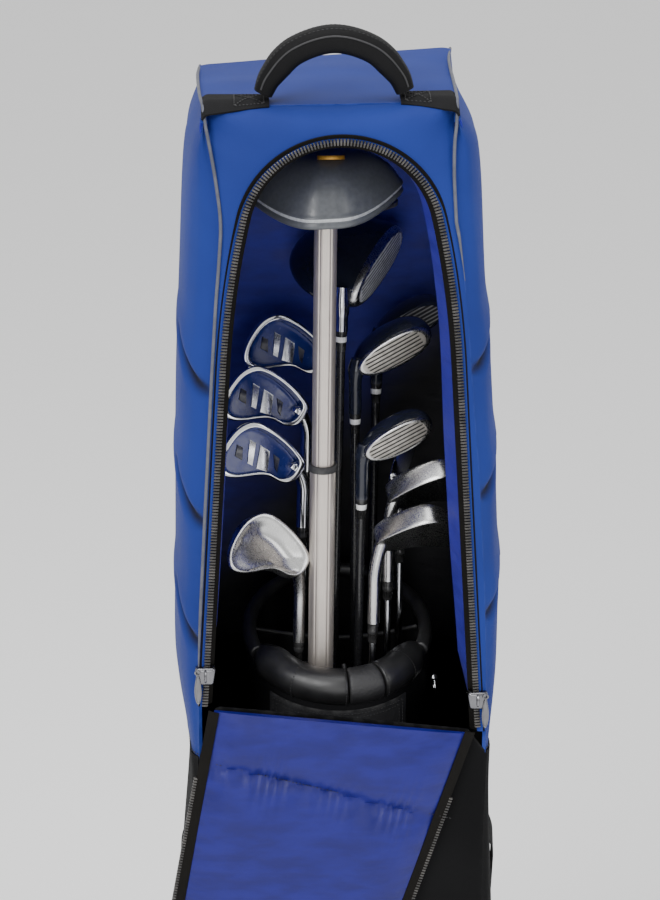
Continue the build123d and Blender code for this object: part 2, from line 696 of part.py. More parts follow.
def build_rod():
    """The telescoping rod, its lock and its cushioned head."""
    parts = {}
    lower_end = joint_along - collar_height
    foot = Cylinder(rod_foot_diameter / 2, rod_foot_height) - Pos(0, 0, tube_wall * 2) * Cylinder(
        lower_tube_diameter / 2, rod_foot_height)
    parts["rod_foot"] = along_rod(foot, rod_foot_height / 2 + club_floor_gap)
    lower_from = tube_wall * 2 + club_floor_gap
    button_z = joint_along - collar_height - button_housing
    turn = Rot(-90, 0, 0)
    window = along_rod(turn * Cylinder(button_diameter / 2 + tube_fit, 4 * lower_tube_diameter,
                                       align=(Align.CENTER, Align.CENTER, Align.MIN)), button_z)
    parts["rod_lower_tube"] = tube_between(lower_tube_diameter, lower_from, lower_end) - window
    collar = Cylinder(lower_tube_diameter / 2 + collar_wall / 2, collar_height) - Cylinder(
        upper_tube_diameter / 2 + tube_fit, collar_height)
    parts["rod_seal_ring"] = along_rod(collar, joint_along - collar_height / 2)
    rod_end = rod_length - 2 * head_wall
    parts["rod_upper_tube"] = tube_between(upper_tube_diameter, joint_along - rod_overlap, rod_end)
    housing = turn * (Pos(0, 0, lower_tube_diameter / 2 + button_proud) * (
        Cylinder(button_housing / 2, 2 * button_proud) - Cylinder(button_diameter / 2 + tube_fit,
                                                                  2 * button_proud)))
    round_tube = Cylinder(lower_tube_diameter / 2 + tube_fit / 2, 4 * button_housing)
    flange_room = turn * (Pos(0, 0, lower_tube_diameter / 2 + button_proud) * Cylinder(
        button_housing / 2 - tube_wall, 2 * button_travel + 2 * button_flange))
    parts["rod_lock_housing"] = along_rod(housing - round_tube - flange_room, button_z)
    shoe_from = upper_tube_diameter / 2 + tube_fit + button_travel
    shoe_to = lower_tube_diameter / 2 + 2 * button_proud + 2 * button_travel
    button = turn * (Pos(0, 0, (shoe_from + shoe_to) / 2) * Cylinder(button_diameter / 2,
                                                                     shoe_to - shoe_from))
    flange_at = lower_tube_diameter / 2 + button_proud + button_travel + button_flange / 2
    button += turn * (Pos(0, 0, flange_at - tube_fit) * Cylinder(
        button_housing / 2 - tube_wall - tube_fit, button_flange))
    parts["rod_lock_button"] = along_rod(button, button_z)
    spring_from = lower_tube_diameter / 2 + spring_wire
    spring_to = flange_at - tube_fit - button_flange / 2
    coil = Helix(pitch=(spring_to - spring_from - spring_wire) / spring_turns,
                 height=spring_to - spring_from - spring_wire, radius=button_diameter / 2 + spring_wire)
    wire = sweep(Plane(origin=coil @ 0, z_dir=coil % 0) * Circle(spring_wire / 2), path=coil)
    wire = turn * (Pos(0, 0, spring_from + spring_wire / 2) * wire)
    parts["rod_button_spring"] = along_rod(wire, button_z)
    parts.update(build_rod_head())
    return parts


def build_rod_head():
    """Cushioned head on top of the upper tube."""
    parts = {}
    base = rod_length - head_wall
    shell = dome_cap(0, head_edge_height) - dome_cap(head_wall, head_edge_height)
    socket = Cylinder(upper_tube_diameter / 2 + hub_socket_wall, hub_socket_height,
                      align=(Align.CENTER, Align.CENTER, Align.MIN))
    socket &= dome_cap(head_wall + seam_gap, head_edge_height)
    room = Cylinder(upper_tube_diameter / 2 + seam_gap / 4, head_wall, align=(Align.CENTER, Align.CENTER,
                                                                             Align.MAX))
    plate = extrude(head_outline(head_wall + seam_gap), amount=head_wall)
    socket = (socket + plate) - Pos(0, 0, head_wall / 2) * room
    top_z = head_edge_height + head_dome
    oval = extrude(Ellipse(plug_size[0] / 2, plug_size[1] / 2), amount=plug_height)
    oval = Pos(0, head_back / 8, top_z - plug_height) * oval
    pocket = extrude(Ellipse(plug_size[0] / 2 + seam_gap / 2, plug_size[1] / 2 + seam_gap / 2),
                     amount=2 * plug_height)
    shell -= Pos(0, head_back / 8, top_z - plug_height - seam_gap / 2) * pocket
    bead = extrude(head_outline(-bead_diameter / 2), amount=bead_diameter)
    bead -= extrude(head_outline(-seam_gap / 2), amount=bead_diameter)
    parts["rod_head_shell"] = along_rod(shell, base)
    parts["rod_head_core"] = along_rod(socket, base)
    parts["rod_head_plug"] = along_rod(oval, base)
    parts["rod_head_bead"] = along_rod(bead, base)
    return parts


# ---- clubs ----
def wood_head(sort):
    """Wood or hybrid head with its neck: the sole is up, the face toward -Y."""
    length, depth, height, lead, neck = wood_sizes[sort]
    shares = ((0.0, 0.80), (-0.28, 1.0), (-0.72, 0.86), (-1.0, 0.42))
    slices = [Pos(0, 0, height * at) * Ellipse(length / 2 * grow, depth / 2 * grow) for at, grow in shares]
    body = loft(slices)
    flat = Pos(0, -depth * 0.44 - depth / 2, -height / 2) * Box(2 * length, depth, 2 * height)
    body = body - flat
    body = Rot(0, -lie_rise, 0) * (Pos(length / 2 - lead, depth * 0.44 - lead, 0) * body)
    tube = Pos(0, 0, -neck / 2 - lead / 2) * Cylinder(hosel_diameter / 2, neck)
    return body + tube


def iron_head(sort):
    """Iron or wedge head with its hosel: the sole is up, the face toward -Y."""
    length, toe, heel, sole, top, loft_angle, hosel = iron_sizes[sort]
    lean = radians(loft_angle)
    face_y, face_z = toe * sin(lean), -toe * cos(lean)
    section = Polygon((0, 0), (face_y, face_z), (face_y + top * cos(lean), face_z + top * sin(lean)),
                      (sole, 0), align=None)
    bar = Pos(length / 2, 0, 0) * extrude(Plane.YZ * section, amount=length / 2, both=True)
    outline = Polygon((0, 0), (length * 0.94, 0), (length, toe * 0.7), (length * 0.86, toe), (length * 0.1, heel),
                      align=None)
    outline = fillet(outline.vertices().sort_by(Axis.X)[-3:], toe / 6)
    face_plane = Plane(origin=(0, 0, 0), x_dir=(1, 0, 0), z_dir=(0, -cos(lean), -sin(lean)))
    cutter = face_plane.location * extrude(outline, amount=toe, both=True)
    if (cutter & bar).volume < bar.volume / 4:
        cutter = face_plane.location * extrude(mirror(outline, about=Plane.XZ), amount=toe, both=True)
    blade = bar & cutter
    blade = Rot(0, -lie_rise, 0) * (Pos(-hosel_diameter / 4, -hosel_diameter / 2, 0) * blade)
    tube = Pos(0, 0, -hosel / 2 - hosel_diameter / 2) * Cylinder(hosel_diameter / 2, hosel)
    return blade + tube


def build_club(name):
    """One club: head, ferrule, shaft and grip, standing head up in the golf bag."""
    sort, head_point, butt_point, azimuth = club_places[name]
    butt = Vector(*butt_point, rod_foot_z + club_floor_gap)
    head_at = Vector(*head_point)
    up = (head_at - butt).normalized()
    toe = Vector(cos(radians(azimuth)), sin(radians(azimuth)), 0)
    toe = (toe - up * toe.dot(up)).normalized()
    place = Plane(origin=head_at, x_dir=toe, z_dir=up)
    wood = sort in wood_sizes
    head = wood_head(sort) if wood else iron_head(sort)
    neck = wood_sizes[sort][4] + wood_sizes[sort][3] / 2 if wood else iron_sizes[sort][6] + hosel_diameter / 2
    length = (head_at - butt).length
    ferrule_low = -neck - ferrule_length
    grip_high = -length + grip_length
    ferrule = Pos(0, 0, -neck - ferrule_length / 2) * Cone(shaft_diameter / 2 + 0.3, ferrule_diameter / 2,
                                                          ferrule_length)
    shaft = Pos(0, 0, (ferrule_low + grip_high) / 2) * Cylinder(shaft_diameter / 2, ferrule_low - grip_high)
    grip = Pos(0, 0, grip_high - grip_length / 2) * Cone(grip_butt_diameter / 2, grip_mouth_diameter / 2,
                                                        grip_length)
    return place.location * group([head, ferrule, shaft, grip])


def build_all():
    """Every node by name."""
    parts = {}
    parts.update(build_base())
    left_wheel, left_axle, left_bracket = build_wheel(-1)
    right_wheel, right_axle, right_bracket = build_wheel(1)
    parts.update(left_wheel)
    parts.update(right_wheel)
    parts["wheel_axles"] = group([left_axle, right_axle])
    parts["wheel_brackets"] = group([left_bracket, right_bracket])
    parts.update(build_cover())
    parts.update(build_zip_and_flap())
    parts.update(build_slider(-1))
    parts.update(build_slider(1))
    parts.update(build_handle())
    parts.update(build_golf_bag())
    parts.update(build_rod())
    for name in club_places:
        parts[name] = build_club(name)
    return parts


os.makedirs("parts", exist_ok=True)
for node, body in build_all().items():
    export_step(body, "parts/" + node + ".step")
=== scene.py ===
"""Looks of a wheeled golf travel cover that stands open with a golf bag, clubs and a support rod."""
import logging
import math
from contextlib import contextmanager
from dataclasses import dataclass
from enum import Enum
from typing import Callable, Iterator, Sequence

import bpy
import numpy as np
from mathutils import Matrix, Vector


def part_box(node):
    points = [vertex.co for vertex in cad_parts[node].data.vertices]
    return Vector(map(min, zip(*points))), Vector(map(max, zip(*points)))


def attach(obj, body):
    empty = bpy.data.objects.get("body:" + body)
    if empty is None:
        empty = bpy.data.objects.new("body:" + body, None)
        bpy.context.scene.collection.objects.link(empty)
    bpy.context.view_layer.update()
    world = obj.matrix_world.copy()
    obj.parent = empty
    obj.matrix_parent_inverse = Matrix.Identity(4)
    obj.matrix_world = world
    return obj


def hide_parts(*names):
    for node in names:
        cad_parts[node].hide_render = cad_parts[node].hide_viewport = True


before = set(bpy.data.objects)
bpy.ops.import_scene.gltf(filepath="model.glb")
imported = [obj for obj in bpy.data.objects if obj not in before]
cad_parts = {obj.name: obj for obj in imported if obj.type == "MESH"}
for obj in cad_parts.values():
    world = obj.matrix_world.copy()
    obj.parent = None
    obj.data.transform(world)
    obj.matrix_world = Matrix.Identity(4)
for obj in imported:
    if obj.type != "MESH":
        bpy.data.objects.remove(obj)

LOG = logging.getLogger("travel_cover")
MM = 0.001
Surface = Callable[[np.ndarray, np.ndarray], np.ndarray]
Colour = tuple[float, float, float]


class Body(Enum):
    """Bodies of the frame that pieces ride on."""
    COVER = "cover"
    FLAP = "flap"
    HANDLE = "handle"
    ROD = "upper_rod"


# ---------------------------------------------------------------- making meshes
def deselect_all() -> None:
    """Leave no object selected or active in edit mode."""
    if bpy.context.object and bpy.context.object.mode != "OBJECT":
        bpy.ops.object.mode_set(mode="OBJECT")
    bpy.ops.object.select_all(action="DESELECT")


def pick(piece: bpy.types.Object) -> None:
    """Make one object the selected and active one."""
    deselect_all()
    piece.select_set(True)
    bpy.context.view_layer.objects.active = piece


def named(name: str) -> bpy.types.Object:
    """Name the active object and its mesh, and return it."""
    piece = bpy.context.object
    piece.name = name
    piece.data.name = name
    return piece


def coordinates(piece: bpy.types.Object) -> np.ndarray:
    """Vertex places of a mesh as rows of x, y, z."""
    flat = np.empty(len(piece.data.vertices) * 3)
    piece.data.vertices.foreach_get("co", flat)
    return flat.reshape(-1, 3)


def place_vertices(piece: bpy.types.Object, places: np.ndarray) -> None:
    """Put a mesh's vertices at the given rows of x, y, z."""
    piece.data.vertices.foreach_set("co", np.ascontiguousarray(places, float).ravel())
    piece.data.update()


def keep_attribute(piece: bpy.types.Object, name: str, values: np.ndarray) -> None:
    """Store a vector per vertex that a material reads back by name."""
    kept = piece.data.attributes.get(name) or piece.data.attributes.new(name, "FLOAT_VECTOR", "POINT")
    kept.data.foreach_set("vector", np.ascontiguousarray(values, np.float32).ravel())


def use_modifier(piece: bpy.types.Object, kind: str, **settings: object) -> None:
    """Add a modifier with its settings and apply it at once.

    Args:
        piece: The mesh object.
        kind: Blender's name for the modifier's type.
        settings: Values for the modifier's own fields.
    """
    pick(piece)
    modifier = piece.modifiers.new(kind.lower(), kind)
    for key, value in settings.items():
        setattr(modifier, key, value)
    bpy.ops.object.modifier_apply(modifier=modifier.name)


@contextmanager
def all_selected(piece: bpy.types.Object) -> Iterator[None]:
    """Stay in edit mode with a whole mesh selected, for the length of a with block."""
    pick(piece)
    bpy.ops.object.mode_set(mode="EDIT")
    bpy.ops.mesh.select_all(action="SELECT")
    yield
    bpy.ops.object.mode_set(mode="OBJECT")


def turn_over(piece: bpy.types.Object) -> None:
    """Make every face of a mesh look the other way."""
    with all_selected(piece):
        bpy.ops.mesh.flip_normals()


def bevelled(name: str, **settings: object) -> bpy.types.Object:
    """Bevel the edges of the primitive that was just added, and name it."""
    with all_selected(bpy.context.object):
        bpy.ops.mesh.bevel(affect="EDGES", **settings)
    return named(name)


def tidy_mesh(piece: bpy.types.Object, apart: float = 1e-6, outwards: bool = True) -> None:
    """Merge doubled vertices and point the faces outwards.

    Args:
        piece: The mesh object.
        apart: Vertices nearer than this become one, in metres.
        outwards: Whether normals are worked out again.
    """
    with all_selected(piece):
        bpy.ops.mesh.remove_doubles(threshold=apart)
        if outwards:
            bpy.ops.mesh.normals_make_consistent(inside=False)


def smooth(piece: bpy.types.Object, degrees: float = 50.0) -> None:
    """Shade a mesh smooth but for edges sharper than an angle."""
    pick(piece)
    bpy.ops.object.shade_smooth_by_angle(angle=math.radians(degrees))


def shaped_grid(name: str, columns: int, rows: int, surface: Surface, cloth: tuple[float, float]
                ) -> bpy.types.Object:
    """Lay a grid over a surface, keeping how far each point is along and across the cloth.

    Args:
        name: Name of the new piece.
        columns: Grid steps along the first direction.
        rows: Grid steps along the second direction.
        surface: Gives a place for each pair of shares from 0 to 1.
        cloth: Length of the cloth in both directions, in metres.

    Returns:
        The new mesh object.
    """
    deselect_all()
    bpy.ops.mesh.primitive_grid_add(x_subdivisions=columns, y_subdivisions=rows, size=1)
    piece = named(name)
    flat = coordinates(piece)
    across, along = np.clip(flat[:, 0] + 0.5, 0, 1), np.clip(flat[:, 1] + 0.5, 0, 1)
    place_vertices(piece, surface(across, along))
    keep_attribute(piece, "cloth", np.column_stack([across * cloth[0], along * cloth[1], 0 * along]))
    return piece


def lofted(name: str, rings: Sequence[np.ndarray], steps: int = 1) -> bpy.types.Object:
    """Skin a row of rings with equal counts of points, closing both ends.

    Args:
        name: Name of the new piece.
        rings: Rings of points, each an array of x, y, z rows.
        steps: Subdivision levels given afterwards.

    Returns:
        The new mesh object, with each face's ring number kept in its "band" attribute.
    """
    rows = [np.asarray(ring, float) for ring in rings]
    first, last = (np.repeat(row.mean(axis=0)[None], len(row), 0) for row in (rows[0], rows[-1]))
    rows = [first, *rows, last]
    stack = np.stack([np.vstack([row, row[:1]]) for row in rows])
    tall, wide = stack.shape[0] - 1, stack.shape[1] - 1

    def surface(across: np.ndarray, along: np.ndarray) -> np.ndarray:
        """Read the ring points in grid order."""
        return stack[np.rint(along * tall).astype(int), np.rint(across * wide).astype(int)]

    piece = shaped_grid(name, wide, tall, surface, (1.0, 1.0))
    kept = np.empty(len(piece.data.vertices) * 3, np.float32)
    piece.data.attributes["cloth"].data.foreach_get("vector", kept)
    level = kept.reshape(-1, 3)[:, 1] * tall
    rows_of = [int(round(min(level[v] for v in face.vertices))) for face in piece.data.polygons]
    band = piece.data.attributes.new("band", "INT", "FACE")
    band.data.foreach_set("value", np.array(rows_of, np.int32))
    tidy_mesh(piece, 2e-6)
    if steps:
        use_modifier(piece, "SUBSURF", levels=steps, render_levels=steps)
    return piece


def bands(piece: bpy.types.Object) -> np.ndarray:
    """Ring number of each face of a lofted piece."""
    found = np.empty(len(piece.data.polygons), np.int32)
    piece.data.attributes["band"].data.foreach_get("value", found)
    return found


def paint_faces(piece: bpy.types.Object, numbers: np.ndarray) -> None:
    """Give each face the number of its material."""
    piece.data.polygons.foreach_set("material_index", np.ascontiguousarray(numbers, np.int32))
    piece.data.update()


def run_along(line: np.ndarray) -> np.ndarray:
    """Length of a line up to each of its points."""
    return np.concatenate([[0], np.cumsum(np.linalg.norm(np.diff(line, axis=0), axis=1))])


def points_at(at: np.ndarray, run: np.ndarray, line: np.ndarray) -> np.ndarray:
    """Points of a line at given lengths, with the length up to each of its own points."""
    return np.column_stack([np.interp(at, run, column) for column in line.T])


def unit(rows: np.ndarray) -> np.ndarray:
    """Bring each row to length one."""
    return rows / np.maximum(np.linalg.norm(rows, axis=1), 1e-9)[:, None]


def curve_points(points: Sequence[Sequence[float]], count: int, closed: bool = False) -> np.ndarray:
    """Even points on a smooth line through a few given ones.

    Args:
        points: The points to pass through.
        count: How many points come back.
        closed: Whether the line comes round to its start.

    Returns:
        Rows of points, evenly spread by length.
    """
    through = np.asarray(points, float)
    if closed:
        knots = np.vstack([through[-1], through, through[:2]])
    else:
        knots = np.vstack([2 * through[0] - through[1], through, 2 * through[-1] - through[-2]])
    fine: list[np.ndarray] = []
    share = np.linspace(0, 1, 24, endpoint=False)[:, None]
    for a, b, c, d in zip(knots, knots[1:], knots[2:], knots[3:]):
        fine.append(0.5 * (2 * b + (c - a) * share + (2 * a - 5 * b + 4 * c - d) * share**2
                           + (3 * b - a - 3 * c + d) * share**3))
    line = np.vstack(fine + [through[:1] if closed else through[-1:]])
    run = run_along(line)
    return points_at(np.linspace(0, run[-1], count + 1 if closed else count)[:count], run, line)


def tube(name: str, line: np.ndarray, radius: float | np.ndarray, sides: int = 12,
         up: Sequence[float] = (0, 0, 1)) -> bpy.types.Object:
    """Skin a tube round a line of points.

    Args:
        name: Name of the new piece.
        line: Points along the middle of the tube.
        radius: One radius, or one for each point.
        sides: Points round the tube.
        up: Direction that the tube's section is kept square to.

    Returns:
        The new mesh object.
    """
    spread = np.broadcast_to(np.asarray(radius, float), (len(line),))
    along = unit(np.gradient(line, axis=0))
    side = unit(np.cross(along, np.asarray(up, float)))
    over = np.cross(side, along)
    turn = np.linspace(0, 2 * math.pi, sides, endpoint=False)
    rings = [middle + r * (np.cos(turn)[:, None] * s + np.sin(turn)[:, None] * o)
             for middle, r, s, o in zip(line, spread, side, over)]
    return lofted(name, rings, steps=0)


def ripple(places: np.ndarray, scale: float, seed: int) -> np.ndarray:
    """Smooth repeatable unevenness from -1 to 1 for each place.

    Args:
        places: Rows of x, y, z in metres.
        scale: Usual distance between two swells, in metres.
        seed: Number that picks the pattern.

    Returns:
        One value per row.
    """
    picked = np.random.default_rng(seed)
    total = np.zeros(len(places))
    for _ in range(7):
        way = picked.normal(size=3)
        way /= np.linalg.norm(way)
        turn = 2 * math.pi / (scale * picked.uniform(0.7, 1.6))
        total += np.sin(places @ way * turn + picked.uniform(0, 6.3))
    return total / 4.0


def crease(across: np.ndarray, along: np.ndarray, start: tuple[float, float], end: tuple[float, float],
           width: float) -> np.ndarray:
    """How strongly each point lies on a short fold line, from 0 to 1.

    Args:
        across: First measure of each point.
        along: Second measure of each point.
        start: One end of the fold.
        end: Other end of the fold.
        width: Half width of the fold.

    Returns:
        One value per point.
    """
    a, b = np.array(start), np.array(end)
    way = b - a
    share = ((across - a[0]) * way[0] + (along - a[1]) * way[1]) / (way @ way)
    held = np.clip(share, 0, 1)
    off = np.hypot(across - a[0] - held * way[0], along - a[1] - held * way[1])
    fade = np.sin(np.pi * np.clip(share * 0.9 + 0.05, 0, 1)) ** 0.5
    return np.exp(-(off / width) ** 2) * fade


def stitch_row(name: str, line: np.ndarray, pitch: float = 0.004, thick: float = 0.0009,
               lift: Sequence[float] = (0, 0, 0)) -> bpy.types.Object:
    """A row of thread stitches along a line, modelled once and copied.

    Args:
        name: Name of the new piece.
        line: Points of the seam.
        pitch: Distance from one stitch to the next, in metres.
        thick: Thickness of the thread, in metres.
        lift: Shift off the cloth, in metres.

    Returns:
        The new mesh object.
    """
    run = run_along(line)
    count = max(2, int(run[-1] / pitch))
    deselect_all()
    bpy.ops.mesh.primitive_uv_sphere_add(segments=6, ring_count=4, radius=1)
    single = named(name)
    one = coordinates(single) * np.array([pitch * 0.34, thick * 0.62, thick * 0.5])
    use_modifier(single, "ARRAY", count=count, use_relative_offset=False, use_constant_offset=True,
                 constant_offset_displace=(1.0, 0, 0))
    at = (np.arange(count) + 0.5) * run[-1] / count
    spot = points_at(at, run, line) + np.asarray(lift)
    way = unit(points_at(at + pitch / 4, run, line) + np.asarray(lift) - spot)
    side = unit(np.cross(way, np.array([0.31, 0.42, 0.85])))
    over = np.cross(way, side)
    placed = (spot[:, None] + one[None, :, :1] * way[:, None] + one[None, :, 1:2] * side[:, None]
              + one[None, :, 2:] * over[:, None])
    place_vertices(single, placed.reshape(-1, 3))
    return single


# ---------------------------------------------------------------- shader groups
class NodeSheet:
    """A node tree with short ways to add nodes and wire them."""

    def __init__(self, tree: bpy.types.NodeTree) -> None:
        """Keep the tree that nodes are added to."""
        self.tree = tree

    def add(self, kind: str, **settings: object) -> bpy.types.Node:
        """Add a node of a kind with its settings, and return it."""
        node = self.tree.nodes.new(kind)
        for key, value in settings.items():
            setattr(node, key, value)
        return node

    def wire(self, source: bpy.types.NodeSocket, target: bpy.types.NodeSocket) -> None:
        """Join two sockets."""
        self.tree.links.new(source, target)

    def feed(self, value: object, slot: bpy.types.NodeSocket) -> None:
        """Wire a socket into a slot, or set the slot to a number or a colour."""
        if isinstance(value, bpy.types.NodeSocket):
            self.wire(value, slot)
        else:
            slot.default_value = (*value, 1.0) if isinstance(value, tuple) else value

    def axes(self, place: bpy.types.NodeSocket) -> bpy.types.NodeOutputs:
        """Sockets with the x, y and z of a place."""
        node = self.add("ShaderNodeSeparateXYZ")
        self.wire(place, node.inputs[0])
        return node.outputs

    def stretched(self, place: bpy.types.NodeSocket, scale: Colour) -> bpy.types.NodeSocket:
        """Place with each of its axes scaled."""
        node = self.add("ShaderNodeMapping")
        self.wire(place, node.inputs[0])
        node.inputs["Scale"].default_value = scale
        return node.outputs[0]

    def math(self, operation: str, first: object, second: object = 0.0, clamp: bool = False
             ) -> bpy.types.NodeSocket:
        """Work out a number from two others.

        Args:
            operation: Name of the sum.
            first: A socket or a number.
            second: A socket or a number.
            clamp: Whether the result is kept from 0 to 1.

        Returns:
            The socket with the result.
        """
        node = self.add("ShaderNodeMath", operation=operation, use_clamp=clamp)
        self.feed(first, node.inputs[0])
        self.feed(second, node.inputs[1])
        return node.outputs[0]

    def spread(self, value: bpy.types.NodeSocket, low: float, high: float, to_low: float = 0.0,
               to_high: float = 1.0) -> bpy.types.NodeSocket:
        """Stretch a range of numbers over another one and return the socket."""
        node = self.add("ShaderNodeMapRange", interpolation_type="SMOOTHSTEP")
        self.wire(value, node.inputs[0])
        for slot, number in zip(list(node.inputs)[1:5], (low, high, to_low, to_high)):
            slot.default_value = number
        return node.outputs[0]

    def mixed(self, share: bpy.types.NodeSocket, first: object, second: object) -> bpy.types.NodeSocket:
        """Mix two colours by a share.

        Args:
            share: Socket with how much of the second colour shows.
            first: A socket or a colour.
            second: A socket or a colour.

        Returns:
            The socket with the mixed colour.
        """
        node = self.add("ShaderNodeMix", data_type="RGBA")
        self.wire(share, node.inputs[0])
        self.feed(first, node.inputs[6])
        self.feed(second, node.inputs[7])
        return node.outputs[2]

    def noise(self, place: bpy.types.NodeSocket, scale: object, detail: float = 3.0) -> bpy.types.NodeSocket:
        """Cloudy values at a scale, which is a number or a socket."""
        node = self.add("ShaderNodeTexNoise")
        self.wire(place, node.inputs["Vector"])
        self.feed(scale, node.inputs["Scale"])
        node.inputs["Detail"].default_value = detail
        return node.outputs[0]


class Effect(Enum):
    """Shader effects that several finishes share."""
    WEAVE = "cloth weave"
    GRAIN = "moulded grain"
    WEAR = "edge wear"
    DUST = "settled dust"


class Effects:
    """Builds each shared shader effect once and places it in materials."""

    def __init__(self) -> None:
        """Start with no effect built."""
        self.built: dict[Effect, bpy.types.NodeTree] = {}

    def group(self, effect: Effect) -> bpy.types.NodeTree:
        """Give the node group of an effect, building it the first time."""
        if effect not in self.built:
            maker = {Effect.WEAVE: self.weave, Effect.GRAIN: self.grain, Effect.WEAR: self.wear,
                     Effect.DUST: self.dust}[effect]
            self.built[effect] = maker()
        return self.built[effect]

    @staticmethod
    def empty(name: str, inputs: dict[str, float], outputs: Sequence[str]
              ) -> tuple[NodeSheet, bpy.types.Node, bpy.types.Node]:
        """Make a group that takes a place on the surface and some numbers.

        Args:
            name: Name of the group.
            inputs: Number inputs with their usual values.
            outputs: Names of the values that it gives.

        Returns:
            The group's sheet, its input node and its output node.
        """
        tree = bpy.data.node_groups.new(name, "ShaderNodeTree")
        tree.interface.new_socket(name="Place", in_out="INPUT", socket_type="NodeSocketVector")
        for key, value in inputs.items():
            number = tree.interface.new_socket(name=key, in_out="INPUT", socket_type="NodeSocketFloat")
            number.default_value = value
        for key in outputs:
            tree.interface.new_socket(name=key, in_out="OUTPUT", socket_type="NodeSocketFloat")
        sheet = NodeSheet(tree)
        return sheet, sheet.add("NodeGroupInput"), sheet.add("NodeGroupOutput")

    def weave(self) -> bpy.types.NodeTree:
        """Over-and-under threads with uneven thickness."""
        sheet, given, out = self.empty("cloth weave", {"Pitch": 0.0009, "Unevenness": 0.4}, ["Height", "Tone"])
        turns = sheet.math("DIVIDE", 6.2832, given.outputs["Pitch"])
        warp, weft = (sheet.math("SINE", sheet.math("MULTIPLY", axis, turns))
                      for axis in list(sheet.axes(given.outputs["Place"]))[:2])
        crossing = sheet.math("MULTIPLY", warp, weft)
        slub = sheet.noise(given.outputs["Place"], 900.0, 2.0)
        uneven = sheet.math("MULTIPLY", sheet.math("SUBTRACT", slub, 0.5), given.outputs["Unevenness"])
        height = sheet.math("ADD", sheet.math("MULTIPLY", crossing, 0.35), uneven)
        sheet.wire(sheet.math("ADD", height, 0.5), out.inputs["Height"])
        sheet.wire(sheet.math("ADD", sheet.math("MULTIPLY", crossing, 0.2), slub, clamp=True),
                   out.inputs["Tone"])
        return sheet.tree

    def grain(self) -> bpy.types.NodeTree:
        """Pebbled grain of vinyl and moulded plastic."""
        sheet, given, out = self.empty("moulded grain", {"Scale": 900.0}, ["Height", "Tone"])
        cells = sheet.add("ShaderNodeTexVoronoi", feature="SMOOTH_F1")
        sheet.wire(given.outputs["Place"], cells.inputs["Vector"])
        sheet.wire(given.outputs["Scale"], cells.inputs["Scale"])
        cloud = sheet.noise(given.outputs["Place"], sheet.math("MULTIPLY", given.outputs["Scale"], 0.11), 2.0)
        sheet.wire(sheet.math("SUBTRACT", 1.0, cells.outputs["Distance"]), out.inputs["Height"])
        sheet.wire(cloud, out.inputs["Tone"])
        return sheet.tree

    def wear(self) -> bpy.types.NodeTree:
        """Mask of rubbed edges and corners, broken up by noise."""
        sheet, given, out = self.empty("edge wear", {"Amount": 0.5, "Scale": 60.0}, ["Mask"])
        shape = sheet.add("ShaderNodeNewGeometry")
        edges = sheet.spread(shape.outputs["Pointiness"], 0.51, 0.60)
        patches = sheet.spread(sheet.noise(given.outputs["Place"], given.outputs["Scale"], 2.0), 0.42, 0.62)
        mask = sheet.math("MULTIPLY", edges, patches)
        sheet.wire(sheet.math("MULTIPLY", mask, given.outputs["Amount"], clamp=True), out.inputs["Mask"])
        return sheet.tree

    def dust(self) -> bpy.types.NodeTree:
        """Mask of faint dust on what faces up."""
        sheet, given, out = self.empty("settled dust", {"Amount": 0.2, "Scale": 35.0}, ["Mask"])
        shape = sheet.add("ShaderNodeNewGeometry")
        upward = sheet.spread(sheet.axes(shape.outputs["Normal"])[2], 0.25, 0.95)
        cloud = sheet.noise(given.outputs["Place"], given.outputs["Scale"], 2.0)
        mask = sheet.math("MULTIPLY", upward, cloud)
        sheet.wire(sheet.math("MULTIPLY", mask, given.outputs["Amount"], clamp=True), out.inputs["Mask"])
        return sheet.tree


EFFECTS = Effects()


@dataclass(frozen=True)
class Finish:
    """A surface finish that builds its own material."""
    name: str
    colour: Colour
    rough: float = 0.5

    def begin(self) -> tuple[NodeSheet, bpy.types.Node, bpy.types.Material]:
        """Make a material with its surface shader.

        Returns:
            The node sheet, the Principled shader and the material.
        """
        material = bpy.data.materials.new(self.name)
        material.use_nodes = True
        sheet = NodeSheet(material.node_tree)
        shader = next(n for n in material.node_tree.nodes if n.type == "BSDF_PRINCIPLED")
        shader.inputs["Roughness"].default_value = self.rough
        return sheet, shader, material

    @staticmethod
    def effect(sheet: NodeSheet, effect: Effect, place: bpy.types.NodeSocket, **values: float) -> bpy.types.Node:
        """Put a shared effect in a material.

        Args:
            sheet: The material's nodes.
            effect: Which effect.
            place: Socket with the place on the surface.
            values: The effect's own numbers.

        Returns:
            The group node.
        """
        node = sheet.add("ShaderNodeGroup")
        node.node_tree = EFFECTS.group(effect)
        sheet.wire(place, node.inputs["Place"])
        for key, value in values.items():
            node.inputs[key].default_value = value
        return node

    @staticmethod
    def object_place(sheet: NodeSheet) -> bpy.types.NodeSocket:
        """Socket with the place in the object's own coordinates."""
        return sheet.add("ShaderNodeTexCoord").outputs["Object"]

    @staticmethod
    def kept_place(sheet: NodeSheet, name: str) -> bpy.types.NodeSocket:
        """Socket with a place kept in the mesh under a name."""
        return sheet.add("ShaderNodeAttribute", attribute_name=name).outputs["Vector"]

    @staticmethod
    def bump(sheet: NodeSheet, shader: bpy.types.Node, height: bpy.types.NodeSocket, strength: float,
             distance: float) -> None:
        """Wire a height into the shader's normal.

        Args:
            sheet: The material's nodes.
            shader: The surface shader.
            height: Socket with the height.
            strength: How strongly it shows.
            distance: Depth of the relief, in metres.
        """
        node = sheet.add("ShaderNodeBump")
        node.inputs["Strength"].default_value = strength
        node.inputs["Distance"].default_value = distance
        sheet.wire(height, node.inputs["Height"])
        sheet.wire(node.outputs[0], shader.inputs["Normal"])


